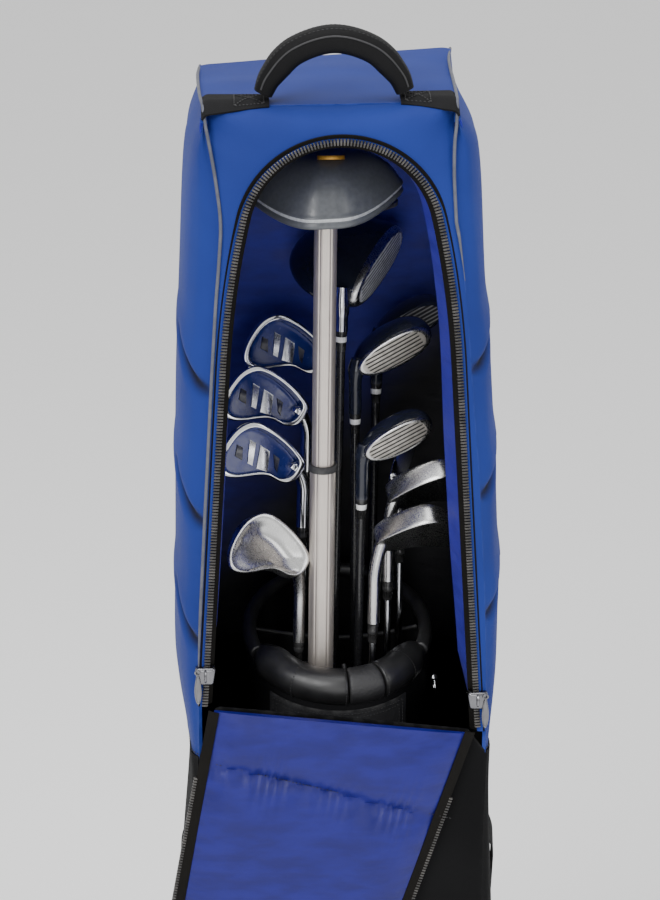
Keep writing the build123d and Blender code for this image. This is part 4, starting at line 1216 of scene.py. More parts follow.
    def mouth_border(self, share: np.ndarray) -> tuple[np.ndarray, np.ndarray]:
        """Outer line of the front that goes with each share of the zip's length.

        Args:
            share: How far along the zip, from 0 to 1.

        Returns:
            Rows of x and z, and how much each point belongs to the top.
        """
        x, z = points_at(share, np.linspace(0, 1, ZIP_POINTS), SHAPE.zip_line(ZIP_POINTS)).T
        angle, over = np.arctan2(z - ARCH_START, -x), z > ARCH_START
        sides = np.where(x < 0, -SHAPE.across(SHAPE.left_edge, z), SHAPE.across(SHAPE.right_edge, z))
        knots = [0.0, 0.35, 0.70, 0.88, 1.12, math.pi / 2, 2.0, 2.26, 2.44, 2.79, math.pi]
        outline = np.array([(-0.1128, ARCH_START), (-0.1150, 1.330), (-0.1215, 1.372), (-0.127, 1.4025),
                            (-0.100, 1.4045),
                            (-0.008, 1.4045), (0.085, 1.4055), (0.108, 1.406), (0.1045, 1.376), (0.1045, 1.330),
                            (0.1095, ARCH_START)])
        border_x = np.where(over, np.interp(angle, knots, outline[:, 0]), sides)
        border_z = np.where(over, np.interp(angle, knots, outline[:, 1]), z)
        top = np.where(over, np.interp(angle, knots, [0, 0, 0.15, 0.8, 1, 1, 1, 0.8, 0.15, 0, 0]), 0.0)
        return np.column_stack([border_x, border_z]), top

    def front(self) -> None:
        """The front face round the mouth, rolled back into the top."""
        def surface(share: np.ndarray, out: np.ndarray) -> np.ndarray:
            """Strip from the zip to the piping, crowned and rolled over at the top."""
            x0, z0 = points_at(share, np.linspace(0, 1, ZIP_POINTS), SHAPE.zip_line(ZIP_POINTS, 0.004)).T
            border, top = self.mouth_border(share)
            x1, z1 = border.T
            y0 = np.full_like(x0, -0.1475)
            y1 = (SHAPE.leaning(z1) - SHAPE.depth) * (1 - top) + self.roll_back * top
            xm = (x0 + x1) / 2
            zm = (z0 + z1) / 2 * (1 - top) + z1 * top
            ym = np.full_like(x0, -0.1500) * (1 - top) - 0.1515 * top
            a, b, c = (1 - out) ** 2, 2 * out * (1 - out), out**2
            x = a * x0 + b * xm + c * x1
            y = a * y0 + b * ym + c * y1
            z = a * z0 + b * zm + c * z1
            soft = ripple(np.column_stack([x, y * 0.3, z]), 0.09, 11) * 0.0016 * np.sin(np.pi * out) * top
            return np.column_stack([x, y - soft, z + 0.5 * soft])

        piece = shaped_grid("cover_front", 280, 34, surface, (1.25, 0.06))
        self.keep_front_weave(piece)
        self.thicken(piece)
        settle(piece, Body.COVER.value, (BLUE_CLOTH, INNER_SATIN), ("front_surround",))

    @staticmethod
    def keep_front_weave(piece: bpy.types.Object) -> None:
        """Measure the front's cloth straight across and up."""
        places = coordinates(piece)
        keep_attribute(piece, "cloth", np.column_stack([places[:, 0], places[:, 2] + places[:, 1], 0 * places[:, 0]]))

    def top(self) -> None:
        """The top panel, a little crowned, from the rolled front to the back."""
        def surface(share: np.ndarray, back: np.ndarray) -> np.ndarray:
            """Crowned panel between both pipings."""
            y = (self.roll_back - 0.012) + (SHAPE.depth - 0.001 - self.roll_back + 0.012) * back
            left, right = self.top_edges(y)
            x = left + (right - left) * share
            z = self.crown + 0.0035 + 0.0022 * share + 0.003 * np.sin(np.pi * share) * np.sin(np.pi * back)
            z -= 0.010 * np.clip((back - 0.93) / 0.07, 0, 1) ** 2
            z += 0.0012 * ripple(np.column_stack([x, y, 0 * x]), 0.07, 21) * np.sin(np.pi * back)
            z -= self.sunk_corner(x, y)
            return np.column_stack([x, y, z])

        piece = shaped_grid("cover_top", 110, 110, surface, (0.25, 0.26))
        self.thicken(piece)
        settle(piece, Body.COVER.value, (BLUE_CLOTH, INNER_SATIN), ("top_panel",))

    def boot(self) -> None:
        """Black lower shell, one closed wrap with a sloping front edge at the fold line."""
        low = 0.016

        def surface(share: np.ndarray, up: np.ndarray) -> np.ndarray:
            """Wrap that closes across the front."""
            wrap = share * 1.3
            level = low + (self.waist - low) * up
            x, y = SHAPE.section(np.clip(wrap, 0, 1), level)
            front_share = np.clip((wrap - 1.0) / 0.3, 0, 1)
            right, left = SHAPE.across(SHAPE.right_edge, level), SHAPE.across(SHAPE.left_edge, level)
            front = wrap > 1.0
            x = np.where(front, right - (right + left) * front_share, x)
            fold_top = SHAPE.fold_z(x) - 0.0005
            z = np.where(front, low + (np.minimum(fold_top, 0.80) - low) * up, level)
            ease = np.clip(np.minimum(front_share, 1 - front_share) / 0.06, 0, 1)
            z = np.where(front, level * (1 - ease) + z * ease, z)
            y = np.where(front, -SHAPE.depth + 0.0015 * np.sin(np.pi * front_share), y)
            sag = ripple(np.column_stack([x, y, z * 0.6]), 0.17, 31) * 0.0030
            slump = 0.004 * np.sin(np.pi * up) ** 2
            round_off = np.clip(up / 0.05, 0, 1) ** 0.5
            shape = 1 - 0.05 * (1 - round_off)
            hand = np.clip(np.abs(x) / 0.15, 0, 1) ** 6
            x = (x + np.sign(x) * hand * (sag + slump) * (~front)) * shape
            y = (y + np.where(y > 0.1, sag, 0) * 0.7) * shape
            y = np.maximum(y, -SHAPE.depth - 0.0003)
            return np.column_stack([x, y, z])

        piece = shaped_grid("cover_boot", 300, 150, surface, (1.20, self.waist - low))
        tidy_mesh(piece, 1e-5, outwards=False)
        self.thicken(piece, BLACK_CLOTH)
        without_fold_shade(piece)
        settle(piece, Body.COVER.value, (BLACK_CLOTH, BLACK_CLOTH),
               ("boot_left_panel", "boot_right_panel", "boot_back_panel", "boot_front_panel"))
        seam = [SHAPE.section(np.array([s]), np.array([self.waist + 0.003])) for s in np.linspace(0, 1, 120)]
        line = np.array([(x[0] * 1.004, y[0] * 1.004, self.waist + 0.003) for x, y in seam])
        settle(stitch_row("waist_stitches", line, 0.005, 0.0012), Body.COVER.value, (THREAD,))

    def facing(self) -> None:
        """Lining strips that stand just inside both sides of the mouth."""
        def surface(share: np.ndarray, deep: np.ndarray) -> np.ndarray:
            """Strip from the zip inwards."""
            outer, inner = (points_at(share, np.linspace(0, 1, ZIP_POINTS), SHAPE.zip_line(ZIP_POINTS, inset))
                            for inset in (0.004, 0.0185))
            narrow = 0.62 + 0.38 * np.clip((share - 0.45) / 0.2, 0, 1)
            foot = np.clip(np.minimum(share, 1 - share) / 0.05, 0.25, 1)
            width = (deep * narrow * foot * (0.85 + 0.15 * np.sin(14 * share) * np.sin(5 * share)))[:, None]
            x, z = (outer * (1 - width) + inner * width).T
            y = -0.1405 + 0.046 * deep + 0.0015 * np.sin(60 * share) * deep
            return np.column_stack([x, y, z])

        piece = shaped_grid("mouth_facing", 260, 8, surface, (1.25, 0.015))
        use_modifier(piece, "SOLIDIFY", thickness=0.0012, offset=0.0)
        tidy_mesh(piece)
        settle(piece, Body.COVER.value, (STRIP_SATIN,))

    def piping(self) -> None:
        """Cords along the front edges and the sides of the top."""
        pieces = []
        for hand, table, low in ((-1, SHAPE.left_edge, 0.80), (1, SHAPE.right_edge, 1.24)):
            heights = np.concatenate([np.linspace(low, 1.30, 14), [1.34, 1.37, 1.388]])
            points = [(hand * (float(SHAPE.across(table, np.array([z]))[0]) + 0.0006),
                       -SHAPE.depth - 0.0016 + float(SHAPE.leaning(z)), z) for z in heights]
            edge = 0.127 if hand < 0 else 0.108
            rise = 0.0 if hand < 0 else 0.0022
            points += [(hand * (edge + 0.0008), -0.120, 1.4035 + rise), (hand * (edge + 0.004), -0.06, 1.4050 + rise),
                       (hand * (edge + 0.009 - 0.003 * (hand < 0)), 0.05, 1.4050 + rise),
                       (hand * (edge + (0.004 if hand < 0 else 0.018)), 0.135, 1.4010 + rise)]
            points = [(x, y, z - float(self.sunk_corner(np.array(x), np.array(y)))) for x, y, z in points]
            taper = np.clip(np.linspace(0, 9, 150), 0.2, 1)
            pieces.append(tube("cord", curve_points(points, 150), 0.0016 * taper, 8, up=(0, 1, 0.1)))
        piece = joined("shell_cord", pieces)
        keep_attribute(piece, "cloth", cloth_measure(coordinates(piece)))
        settle(piece, Body.COVER.value, (PIPING_CORD,), ("shell_piping",))

    def boot_straps(self) -> None:
        """Compression straps that slant down both sides of the boot."""
        for hand, side in ((-1, "left"), (1, "right")):
            def surface(share: np.ndarray, up: np.ndarray, hand: int = hand) -> np.ndarray:
                """Strap over the side of the boot, from high at the front down to the back."""
                y = -0.128 + 0.17 * up
                z = 0.66 - 0.33 * up + (share - 0.5) * 0.030
                table = SHAPE.left_side if hand < 0 else SHAPE.right_side
                x = SHAPE.across(table, z) + 0.0036 - 0.017 * np.clip((-0.1 - y) / 0.03, 0, 1) ** 2
                return np.column_stack([hand * x, y, z])

            strap = shaped_grid("boot_strap_" + side, 10, 70, surface, (0.030, 0.40))
            use_modifier(strap, "SOLIDIFY", thickness=0.0016, offset=0.0)
            tidy_mesh(strap)
            settle(strap, Body.COVER.value, (BLACK_WEBBING,))


@dataclass
class ZipAndFlap:
    """Zip chains with their tapes, and the quilted flap that hangs from its fold line."""
    tooth_pitch: float = 0.0031
    tape: float = 0.010
    flap_y: float = -0.1545
    seam_left: float = 0.058
    seam_right: float = 0.098

    def build(self) -> None:
        """Make the chains, the tapes and the flap."""
        self.chain("zip_teeth_body", SHAPE.zip_line(700, 0.0035), -0.1492, Body.COVER.value, "zip_chain_body", 0.0)
        line = SHAPE.folded_down(SHAPE.zip_line(700, 0.0078))[40:-40]
        self.chain("zip_teeth_flap", line, -0.1545, Body.FLAP.value, "zip_chain_flap", 0.5)
        self.strip("zip_tape_body", SHAPE.zip_line(ZIP_POINTS, -0.0035), SHAPE.zip_line(ZIP_POINTS, 0.0105),
                   -0.1490, -0.1395, Body.COVER.value)
        self.strip("zip_tape_flap", SHAPE.folded_down(SHAPE.zip_line(ZIP_POINTS, 0.0075)),
                   SHAPE.folded_down(SHAPE.zip_line(ZIP_POINTS, 0.0180)), -0.1549, -0.1585, Body.FLAP.value)
        self.flap()
        self.sliders()

    def chain(self, name: str, line: np.ndarray, y: float, body: str, node: str, shift: float) -> None:
        """Moulded zip teeth in a row along a line.

        Args:
            name: Name of the new piece.
            line: Rows of x and z along the chain.
            y: Depth of the chain's middle.
            body: Body that it moves with.
            node: CAD node that it stands for.
            shift: Share of a pitch that the row starts with.
        """
        run = run_along(line)
        count = int(run[-1] / self.tooth_pitch) - 1
        deselect_all()
        bpy.ops.mesh.primitive_cube_add(size=1)
        row = bevelled(name, offset=0.16, segments=1)
        one = coordinates(row) * np.array([0.0021, 0.0034, 0.0060])
        use_modifier(row, "ARRAY", count=count, use_relative_offset=False, use_constant_offset=True,
                     constant_offset_displace=(1.0, 0, 0))
        at = (np.arange(count) + 0.5 + shift) * self.tooth_pitch
        spot = np.insert(points_at(at, run, line), 1, y, axis=1)
        way = unit(np.insert(points_at(at + 0.001, run, line), 1, y, axis=1) - spot)
        deep = np.array([0.0, 1.0, 0.0])
        side = np.cross(way, deep)
        placed = (spot[:, None] + one[None, :, :1] * way[:, None] + one[None, :, 1:2] * deep
                  + one[None, :, 2:] * side[:, None])
        place_vertices(row, placed.reshape(-1, 3))
        settle(row, body, (ZIP_TEETH,), (node,), degrees=30)

    def strip(self, name: str, outer: np.ndarray, inner: np.ndarray, y_outer: float, y_inner: float,
              body: str) -> None:
        """Flat tape between two lines.

        Args:
            name: Name of the new piece.
            outer: Rows of x and z along the tape's first edge.
            inner: Rows of x and z along its second edge.
            y_outer: Depth at the first edge.
            y_inner: Depth at the second edge.
            body: Body that it moves with.
        """
        run = np.linspace(0, 1, len(outer))

        def surface(share: np.ndarray, over: np.ndarray) -> np.ndarray:
            """Ruled strip."""
            part = over[:, None]
            flat = points_at(share, run, outer) * (1 - part) + points_at(share, run, inner) * part
            y = y_outer * (1 - over) + y_inner * over - 0.0008 * np.sin(np.pi * over)
            return np.column_stack([flat[:, 0], y, flat[:, 1]])

        piece = shaped_grid(name, 320, 6, surface, (1.25, self.tape))
        use_modifier(piece, "SOLIDIFY", thickness=0.0012, offset=0.0)
        tidy_mesh(piece)
        settle(piece, body, (ZIP_TAPE,))

    def flap(self) -> None:
        """Quilted flap, with satin on both of its sides."""
        line = SHAPE.zip_line(401, 0.013)
        half, other = line[200:], line[:201][::-1]

        def surface(share: np.ndarray, down: np.ndarray) -> np.ndarray:
            """Lining side of the hanging flap with its puffs and sewn channel."""
            back, run = 1 - np.sin(down * math.pi / 2), np.linspace(0, 1, 201)
            right, left = points_at(back, run, half), points_at(back, run, other)
            shut = left * (1 - share)[:, None] + right * share[:, None]
            shut[:, 1] = np.maximum(shut[:, 1], SHAPE.fold_z(shut[:, 0]) + 0.0005)
            flat = SHAPE.folded_down(shut)
            fall = (SHAPE.fold_z(flat[:, 0]) - flat[:, 1]) * math.cos(SHAPE.fold_slope)
            seam = self.seam_left + (self.seam_right - self.seam_left) * share
            edge = np.minimum(np.minimum(share, 1 - share) * 0.26, (1 - down) * 0.5)
            rim = 1 - np.exp(-(np.clip(edge, 0, 1) / 0.020) ** 1.2)
            channel = 1 - 0.97 * np.exp(-np.abs(fall - seam) / 0.012)
            top = 1 - 0.80 * np.exp(-np.abs(fall) / 0.014)
            swell = 0.0140 * rim * channel * top
            near = np.exp(-np.abs(fall - seam) / 0.016) * (np.abs(fall - seam) > 0.0015)
            depth = 0.0012 + 0.0006 * np.sin(share * 9)
            gathers = np.sin(share * 120 + 3 * np.sin(share * 23)) * depth * near * rim
            drag = ripple(np.column_stack([flat[:, 0], flat[:, 1] * 0.6, 0 * share]), 0.13, 41) * 0.0030 * rim
            y = self.flap_y - 0.0012 - swell - gathers - drag * np.minimum(1, fall / 0.05)
            return np.column_stack([flat[:, 0], y, flat[:, 1]])

        piece = shaped_grid("flap_quilt", 150, 230, surface, (0.28, 0.60))
        if np.array([f.normal[1] for f in piece.data.polygons]).sum() > 0:
            turn_over(piece)
        rear = coordinates(piece)
        pick(piece)
        bpy.ops.object.duplicate()
        backing = named("flap_back")
        rear[:, 1] = -0.1523 - 0.10 * np.clip(self.flap_y - rear[:, 1], 0, 0.01)
        place_vertices(backing, rear)
        turn_over(backing)
        piece = joined("flap_quilt", [piece, backing])
        bpy.ops.object.mode_set(mode="EDIT")
        bpy.ops.mesh.select_all(action="DESELECT")
        bpy.ops.mesh.select_non_manifold(extend=False, use_wire=False, use_multi_face=False,
                                         use_non_contiguous=False, use_verts=False, use_boundary=True)
        bpy.ops.mesh.bridge_edge_loops()
        bpy.ops.object.mode_set(mode="OBJECT")
        settle(piece, Body.FLAP.value, (FLAP_SATIN,), ("front_flap",))
        points = []
        for share in np.linspace(0.02, 0.98, 160):
            want = self.seam_left + (self.seam_right - self.seam_left) * share
            x0 = -0.125 + 0.255 * share
            x = x0 - want * math.sin(SHAPE.fold_slope)
            points.append((x, self.flap_y - 0.0030, SHAPE.fold_z(np.array(x)) - want / math.cos(SHAPE.fold_slope)))
        settle(stitch_row("quilt_stitches", np.array(points), 0.0036, 0.0009), Body.FLAP.value,
               (THREAD,))

    def sliders(self) -> None:
        """Make both zip sliders with their bridges, and their hanging tabs."""
        for side in ("left", "right"):
            self.slider(side)
            self.tab(side)

    @staticmethod
    def slider(side: str) -> None:
        """Wedge-shaped slider with a bridge that holds the tab's eye."""
        low, high = (np.array(corner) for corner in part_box("zip_slider_" + side))
        middle, size = (low + high) / 2, high - low
        deselect_all()
        bpy.ops.mesh.primitive_cube_add(size=1)
        body = bevelled("body", offset=0.17, segments=3)
        spots = coordinates(body)
        waist = 1.0 - 0.30 * np.clip(0.35 - spots[:, 2], 0, 1) ** 1.5
        shape = np.column_stack([spots[:, 0] * 0.92 * size[0] * waist, spots[:, 1] * 0.80 * size[1],
                                 spots[:, 2] * 0.98 * size[2]])
        place_vertices(body, shape + middle)
        turn = np.linspace(0, math.pi, 15)
        arch = np.column_stack([0 * turn, -0.0034 * np.sin(turn), 0.0058 * np.cos(turn)])
        bridge = tube("bridge", arch + np.array([middle[0], low[1] + 0.0020, middle[2] + 0.001]), 0.0013, 8,
                      up=(1, 0, 0))
        settle(joined("slider_" + side, [body, bridge]), side + "_slider", (GUNMETAL,),
               ("zip_slider_" + side,), degrees=35)

    @staticmethod
    def tab(side: str) -> None:
        """Long rounded tab that hangs from an eye."""
        low, high = (np.array(corner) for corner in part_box("pull_tab_" + side))
        middle, long = (low + high) / 2, high[2] - low[2]
        turn = np.linspace(0, 2 * math.pi, 36, endpoint=False)
        swell = 1.0 - 0.35 * (0.5 + 0.5 * np.sin(turn))
        flat = np.column_stack([0.0044 * np.cos(turn) * swell,
                                0.44 * long * np.sin(turn) * np.abs(np.sin(turn)) ** 0.2])

        def ring(scale: float, y: float) -> np.ndarray:
            """Outline of the tab at a scale and a depth."""
            return np.column_stack([flat[:, 0] * scale, np.full(36, y), flat[:, 1] * (1 - (1 - scale) * 0.25)])

        plate = lofted("plate", [ring(0.5, -0.0004), ring(0.62, -0.0005), ring(0.72, -0.0011), ring(0.92, -0.0011),
                                 ring(1.0, -0.0004), ring(1.0, 0.0004), ring(0.92, 0.0011), ring(0.5, 0.0010)],
                       steps=1)
        place_vertices(plate, coordinates(plate) + middle - np.array([0, 0, 0.05 * long]))
        loop = np.linspace(0, 2 * math.pi, 25)
        eye = np.column_stack([0.0024 * np.cos(loop), 0 * loop, 0.0024 * np.sin(loop)])
        hoop = tube("eye", eye + np.array([middle[0], middle[1], high[2] - 0.0030]), 0.0009, 8, up=(0, 1, 0))
        settle(joined("tab_" + side, [plate, hoop]), side + "_pull", (GUNMETAL,), ("pull_tab_" + side,),
               degrees=40)


@dataclass
class CarryHandle:
    """Padded carry handle and the webbing patches that hold it."""
    left_end: tuple[float, float, float] = (-0.0715, -0.112, 1.4135)
    right_end: tuple[float, float, float] = (0.0605, -0.112, 1.4150)
    crown: tuple[float, float, float] = (-0.006, -0.114, 1.4635)
    thick: float = 0.0125
    wide: float = 0.0165

    def build(self) -> None:
        """Make the grip, its stitching and both patches."""
        points = [self.left_end, (-0.0635, -0.1125, 1.4300), (-0.042, -0.1135, 1.4525), self.crown,
                  (0.030, -0.1135, 1.4535), (0.0525, -0.1125, 1.4315), self.right_end]
        line = curve_points(points, 90)
        share = np.linspace(0, 1, 90)
        full = 0.72 + 0.28 * np.clip(np.sin(np.pi * share) * 1.9, 0, 1)
        along = unit(np.gradient(line, axis=0))
        deep = np.array([0.0, 1.0, 0.0])
        over = np.cross(deep, along)
        over *= np.sign(over[45, 2])
        turn = np.linspace(0, 2 * math.pi, 40, endpoint=False)
        cos, sin = np.cos(turn), np.sin(turn)
        flat_cos, flat_sin = np.sign(cos) * np.abs(cos) ** 0.62, np.sign(sin) * np.abs(sin) ** 0.80
        rings = [p + f * (self.wide * flat_cos[:, None] * deep + self.thick * flat_sin[:, None] * o)
                 for p, f, o in zip(line, full, over)]
        grip = lofted("handle_pad", rings, steps=0)
        spots = coordinates(grip)
        keep_attribute(grip, "cloth", np.column_stack([spots[:, 0], spots[:, 1] + spots[:, 2], 0 * spots[:, 0]]))
        without_fold_shade(grip)
        settle(grip, Body.HANDLE.value, (HANDLE_CLOTH,), ("handle_grip",))
        rows = []
        for sideways in (-1, 1):
            seam = line + full[:, None] * (sideways * self.wide * 0.62 * deep + self.thick * 0.90 * over)
            rows.append(stitch_row("seam", seam[4:-4], 0.0042, 0.0010))
            edge = line + full[:, None] * (sideways * self.wide * 0.97 * deep + self.thick * 0.42 * over)
            rows.append(tube("welt", edge[2:-2], 0.0009, 6, up=(0, 1, 0)))
        settle(joined("handle_seams", rows), Body.HANDLE.value, (THREAD,))
        self.patches()

    def patches(self) -> None:
        """Webbing patches from the handle's ends out to the pipings, with crossed box stitching."""
        pieces, rows = [], []
        for hand, inner, outer in ((-1, 0.066, 0.1285), (1, 0.056, 0.1095)):
            def surface(share: np.ndarray, out: np.ndarray, hand: int = hand, inner: float = inner,
                        outer: float = outer) -> np.ndarray:
                """Strap that widens outwards and lies on the top, over its rolled front."""
                x = inner + (outer - inner) * out
                half = 0.015 + 0.0075 * out
                y = -0.1130 + (share - 0.5) * 2 * half
                ahead = np.clip((-0.113 - y) / 0.0225, 0, 1)
                z = 1.4078 + 0.0015 * (hand > 0) - 0.0095 * ahead**1.8 - 0.0010 * out
                z -= 0.004 * np.clip((out - 0.9) / 0.1, 0, 1) ** 2
                return np.column_stack([hand * x, y, z])

            patch = shaped_grid("patch", 24, 40, surface, (0.04, 0.06))
            use_modifier(patch, "SOLIDIFY", thickness=0.0022, offset=0.0)
            pieces.append(patch)
            box = [(0.12, 0.08), (0.88, 0.08), (0.88, 0.52), (0.12, 0.52), (0.12, 0.08)]
            for a, b in list(zip(box, box[1:])) + [(box[0], box[2]), (box[1], box[3])]:
                steps = np.linspace(0, 1, 14)
                path = surface(a[0] + (b[0] - a[0]) * steps, a[1] + (b[1] - a[1]) * steps)
                rows.append(stitch_row("cross", path, 0.0034, 0.0012, (0, 0, 0.0016)))
        piece = joined("handle_patches", pieces)
        tidy_mesh(piece)
        settle(piece, Body.COVER.value, (BLACK_WEBBING,), ("handle_anchors",))
        settle(joined("patch_stitches", rows), Body.COVER.value, (THREAD,))


# ---------------------------------------------------------------- the golf bag
@dataclass
class GolfBag:
    """Golf bag that stands in the cover: oval body, padded cuff, rim, webs, pockets and label."""
    middle: tuple[float, float] = (0.004, 0.005)
    half: tuple[float, float] = (0.098, 0.104)
    cuff_height: float = 0.813
    slant: float = math.radians(13.0)
    cuff_half: tuple[float, float] = (0.0845, 0.0925)
    cuff_thick: float = 0.0192
    rows: Sequence[float] = (-0.0285, 0.033)
    column: float = 0.009

    def build(self) -> None:
        """Make every piece of the golf bag."""
        self.body()
        self.cuff()
        self.rim()
        self.webs()
        self.label()
        pockets = swollen("bag_pockets", "bag_pocket_pads", 0.005, 0.006, 0.003)
        without_fold_shade(pockets)
        settle(pockets, Body.COVER.value, (BAG_CLOTH,), ("bag_pockets",))
        WARDROBE.dress(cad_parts["bag_base"], MOULDED)

    def plane_height(self, y: np.ndarray) -> np.ndarray:
        """Height of the cuff's slanting plane at a place front to back."""
        return self.cuff_height + math.tan(self.slant) * (y - self.middle[1])

    def oval(self, angle: np.ndarray, half: Sequence[float]) -> tuple[np.ndarray, np.ndarray]:
        """Point on an oval round the bag's middle at an angle."""
        return self.middle[0] + half[0] * np.cos(angle), self.middle[1] + half[1] * np.sin(angle)

    def body(self) -> None:
        """Soft wall of the bag, pulled in a little under the cuff."""
        low = 0.060

        def surface(share: np.ndarray, up: np.ndarray) -> np.ndarray:
            """Oval wall with slack between its hoops."""
            angle = 2 * math.pi * share
            x, y = self.oval(angle, self.half)
            z = low + (self.plane_height(y) - 0.006 - low) * up
            slack = 1 - 0.025 * np.sin(np.pi * up * 3) ** 2
            sag = 1 + 0.012 * ripple(np.column_stack([x, y, z * 0.5]), 0.12, 51) * np.sin(np.pi * up)
            grow = slack * np.minimum(sag, 1.004)
            x = self.middle[0] + (x - self.middle[0]) * grow
            y = self.middle[1] + (y - self.middle[1]) * grow
            return np.column_stack([x, y, z])

        piece = shaped_grid("bag_wall", 120, 110, surface, (0.63, 0.74))
        tidy_mesh(piece, 1e-6)
        SewnCover.face_out(piece)
        use_modifier(piece, "SOLIDIFY", thickness=0.0035, offset=-1.0)
        without_fold_shade(piece)
        settle(piece, Body.COVER.value, (BAG_CLOTH,), ("bag_body",))

    def cuff_run(self, start: float, end: float, count: int, lift: float = 0.0) -> np.ndarray:
        """Points along the middle of the cuff between two angles."""
        angle = np.radians(np.linspace(start, end, count))
        x, y = self.oval(angle, self.cuff_half)
        return np.column_stack([x, y, self.plane_height(y) + lift])

    def cuff(self) -> None:
        """Padded roll round the front of the mouth, with its grained hand grip."""
        pieces, rows = [], []
        for start, end, number in ((200.0, 273.8, 0), (274.0, 296.0, 1), (296.2, 340.0, 0)):
            line = self.cuff_run(start, end, max(14, int(end - start)), -0.004)
            share = np.linspace(0, 1, len(line))
            full = self.cuff_thick * (1 - 0.10 * np.exp(-np.minimum(share, 1 - share) * (end - start) / 0.8))
            angle = start + (end - start) * share
            reach = np.clip(np.minimum(angle - 198.0, 342.0 - angle) / 20.0, 0, 1)
            full *= 0.42 + 0.58 * np.sin(reach * math.pi / 2)
            full = full + 0.0005 * ripple(line, 0.035, 61)
            piece = tube("roll", line, full, 28)
            use_modifier(piece, "SUBSURF", levels=1, render_levels=1)
            numbered(piece, (CUFF_VINYL, GRIP_VINYL), number)
            pieces.append(piece)
        roll = joined("cuff_roll", pieces)
        settle(roll, Body.COVER.value, (CUFF_VINYL, GRIP_VINYL), ("bag_cuff",))
        for at in (272.0, 297.6, 240.0, 318.0):
            middle = self.cuff_run(at, at + 0.6, 2, -0.004)
            way = middle[1] - middle[0]
            way /= np.linalg.norm(way)
            side = np.cross(way, (0, 0, 1.0))
            side /= np.linalg.norm(side)
            over = np.cross(side, way)
            turn = np.linspace(0, 2 * math.pi, 60)[:, None]
            rows.append(stitch_row("ring", middle[0] + (self.cuff_thick + 0.0004) * (
                np.cos(turn) * side + np.sin(turn) * over), 0.0034, 0.0010))
        settle(joined("cuff_stitches", rows), Body.COVER.value, (THREAD,))

    def rim(self) -> None:
        """Thin bound rim round the rear of the mouth."""
        angle = np.radians(np.linspace(-24.0, 204.0, 130))
        x, y = self.oval(angle, (0.0935, 0.0995))
        line = np.column_stack([x, y, self.plane_height(y)])
        piece = tube("bag_rim", line, 0.0078 + 0.0003 * ripple(line, 0.05, 71), 16)
        use_modifier(piece, "SUBSURF", levels=1, render_levels=1)
        settle(piece, Body.COVER.value, (CUFF_VINYL,), ("bag_top_rim",))

    def webs(self) -> None:
        """Padded webs across the mouth, with bound upper edges."""
        pieces, binds = [], []

        def web(start: tuple[float, float], end: tuple[float, float]) -> None:
            """One web between two points of the mouth, with its binding."""
            a, b = np.array(start), np.array(end)

            def surface(share: np.ndarray, down: np.ndarray) -> np.ndarray:
                """Hanging web with a slack top edge."""
                flat = a + (b - a) * share[:, None]
                dip = 0.012 * np.sin(np.pi * share)
                z = self.plane_height(flat[:, 1]) - 0.020 - dip - 0.125 * down
                sway = 0.0014 * np.sin(2 * np.pi * share) * (1 - down)
                cross = np.array([-(b - a)[1], (b - a)[0]]) / np.linalg.norm(b - a)
                flat = flat + cross * sway[:, None]
                return np.column_stack([flat[:, 0], flat[:, 1], z])

            sheet = shaped_grid("web", 40, 20, surface, (0.17, 0.125))
            use_modifier(sheet, "SOLIDIFY", thickness=0.0030, offset=0.0)
            pieces.append(sheet)
            share = np.linspace(0.01, 0.99, 40)
            binds.append(tube("bind", surface(share, np.zeros(40)), 0.0026, 8))

        for row in self.rows:
            reach = (self.half[0] - 0.006) * math.sqrt(1 - ((row - self.middle[1]) / self.half[1]) ** 2)
            web((self.middle[0] - reach, row), (self.middle[0] + reach, row))
        web((self.column, self.rows[0]), (self.column, self.middle[1] - self.half[1] + 0.008))
        piece = joined("bag_webs", pieces)
        tidy_mesh(piece)
        without_fold_shade(piece)
        settle(piece, Body.COVER.value, (BAG_CLOTH,), ("bag_dividers",))
        settle(joined("web_bindings", binds), Body.COVER.value, (GRIP_VINYL,))

    def label(self) -> None:
        """Blank stitched patch under the cuff, and the towel ring on the right."""
        def surface(share: np.ndarray, up: np.ndarray) -> np.ndarray:
            """Patch that follows the oval wall."""
            angle = np.radians(223.0 + 89.0 * share)
            x, y = self.oval(angle, (self.half[0] + 0.0012, self.half[1] + 0.0012))
            z = self.plane_height(y) - 0.108 + 0.086 * up
            return np.column_stack([x, y, z])

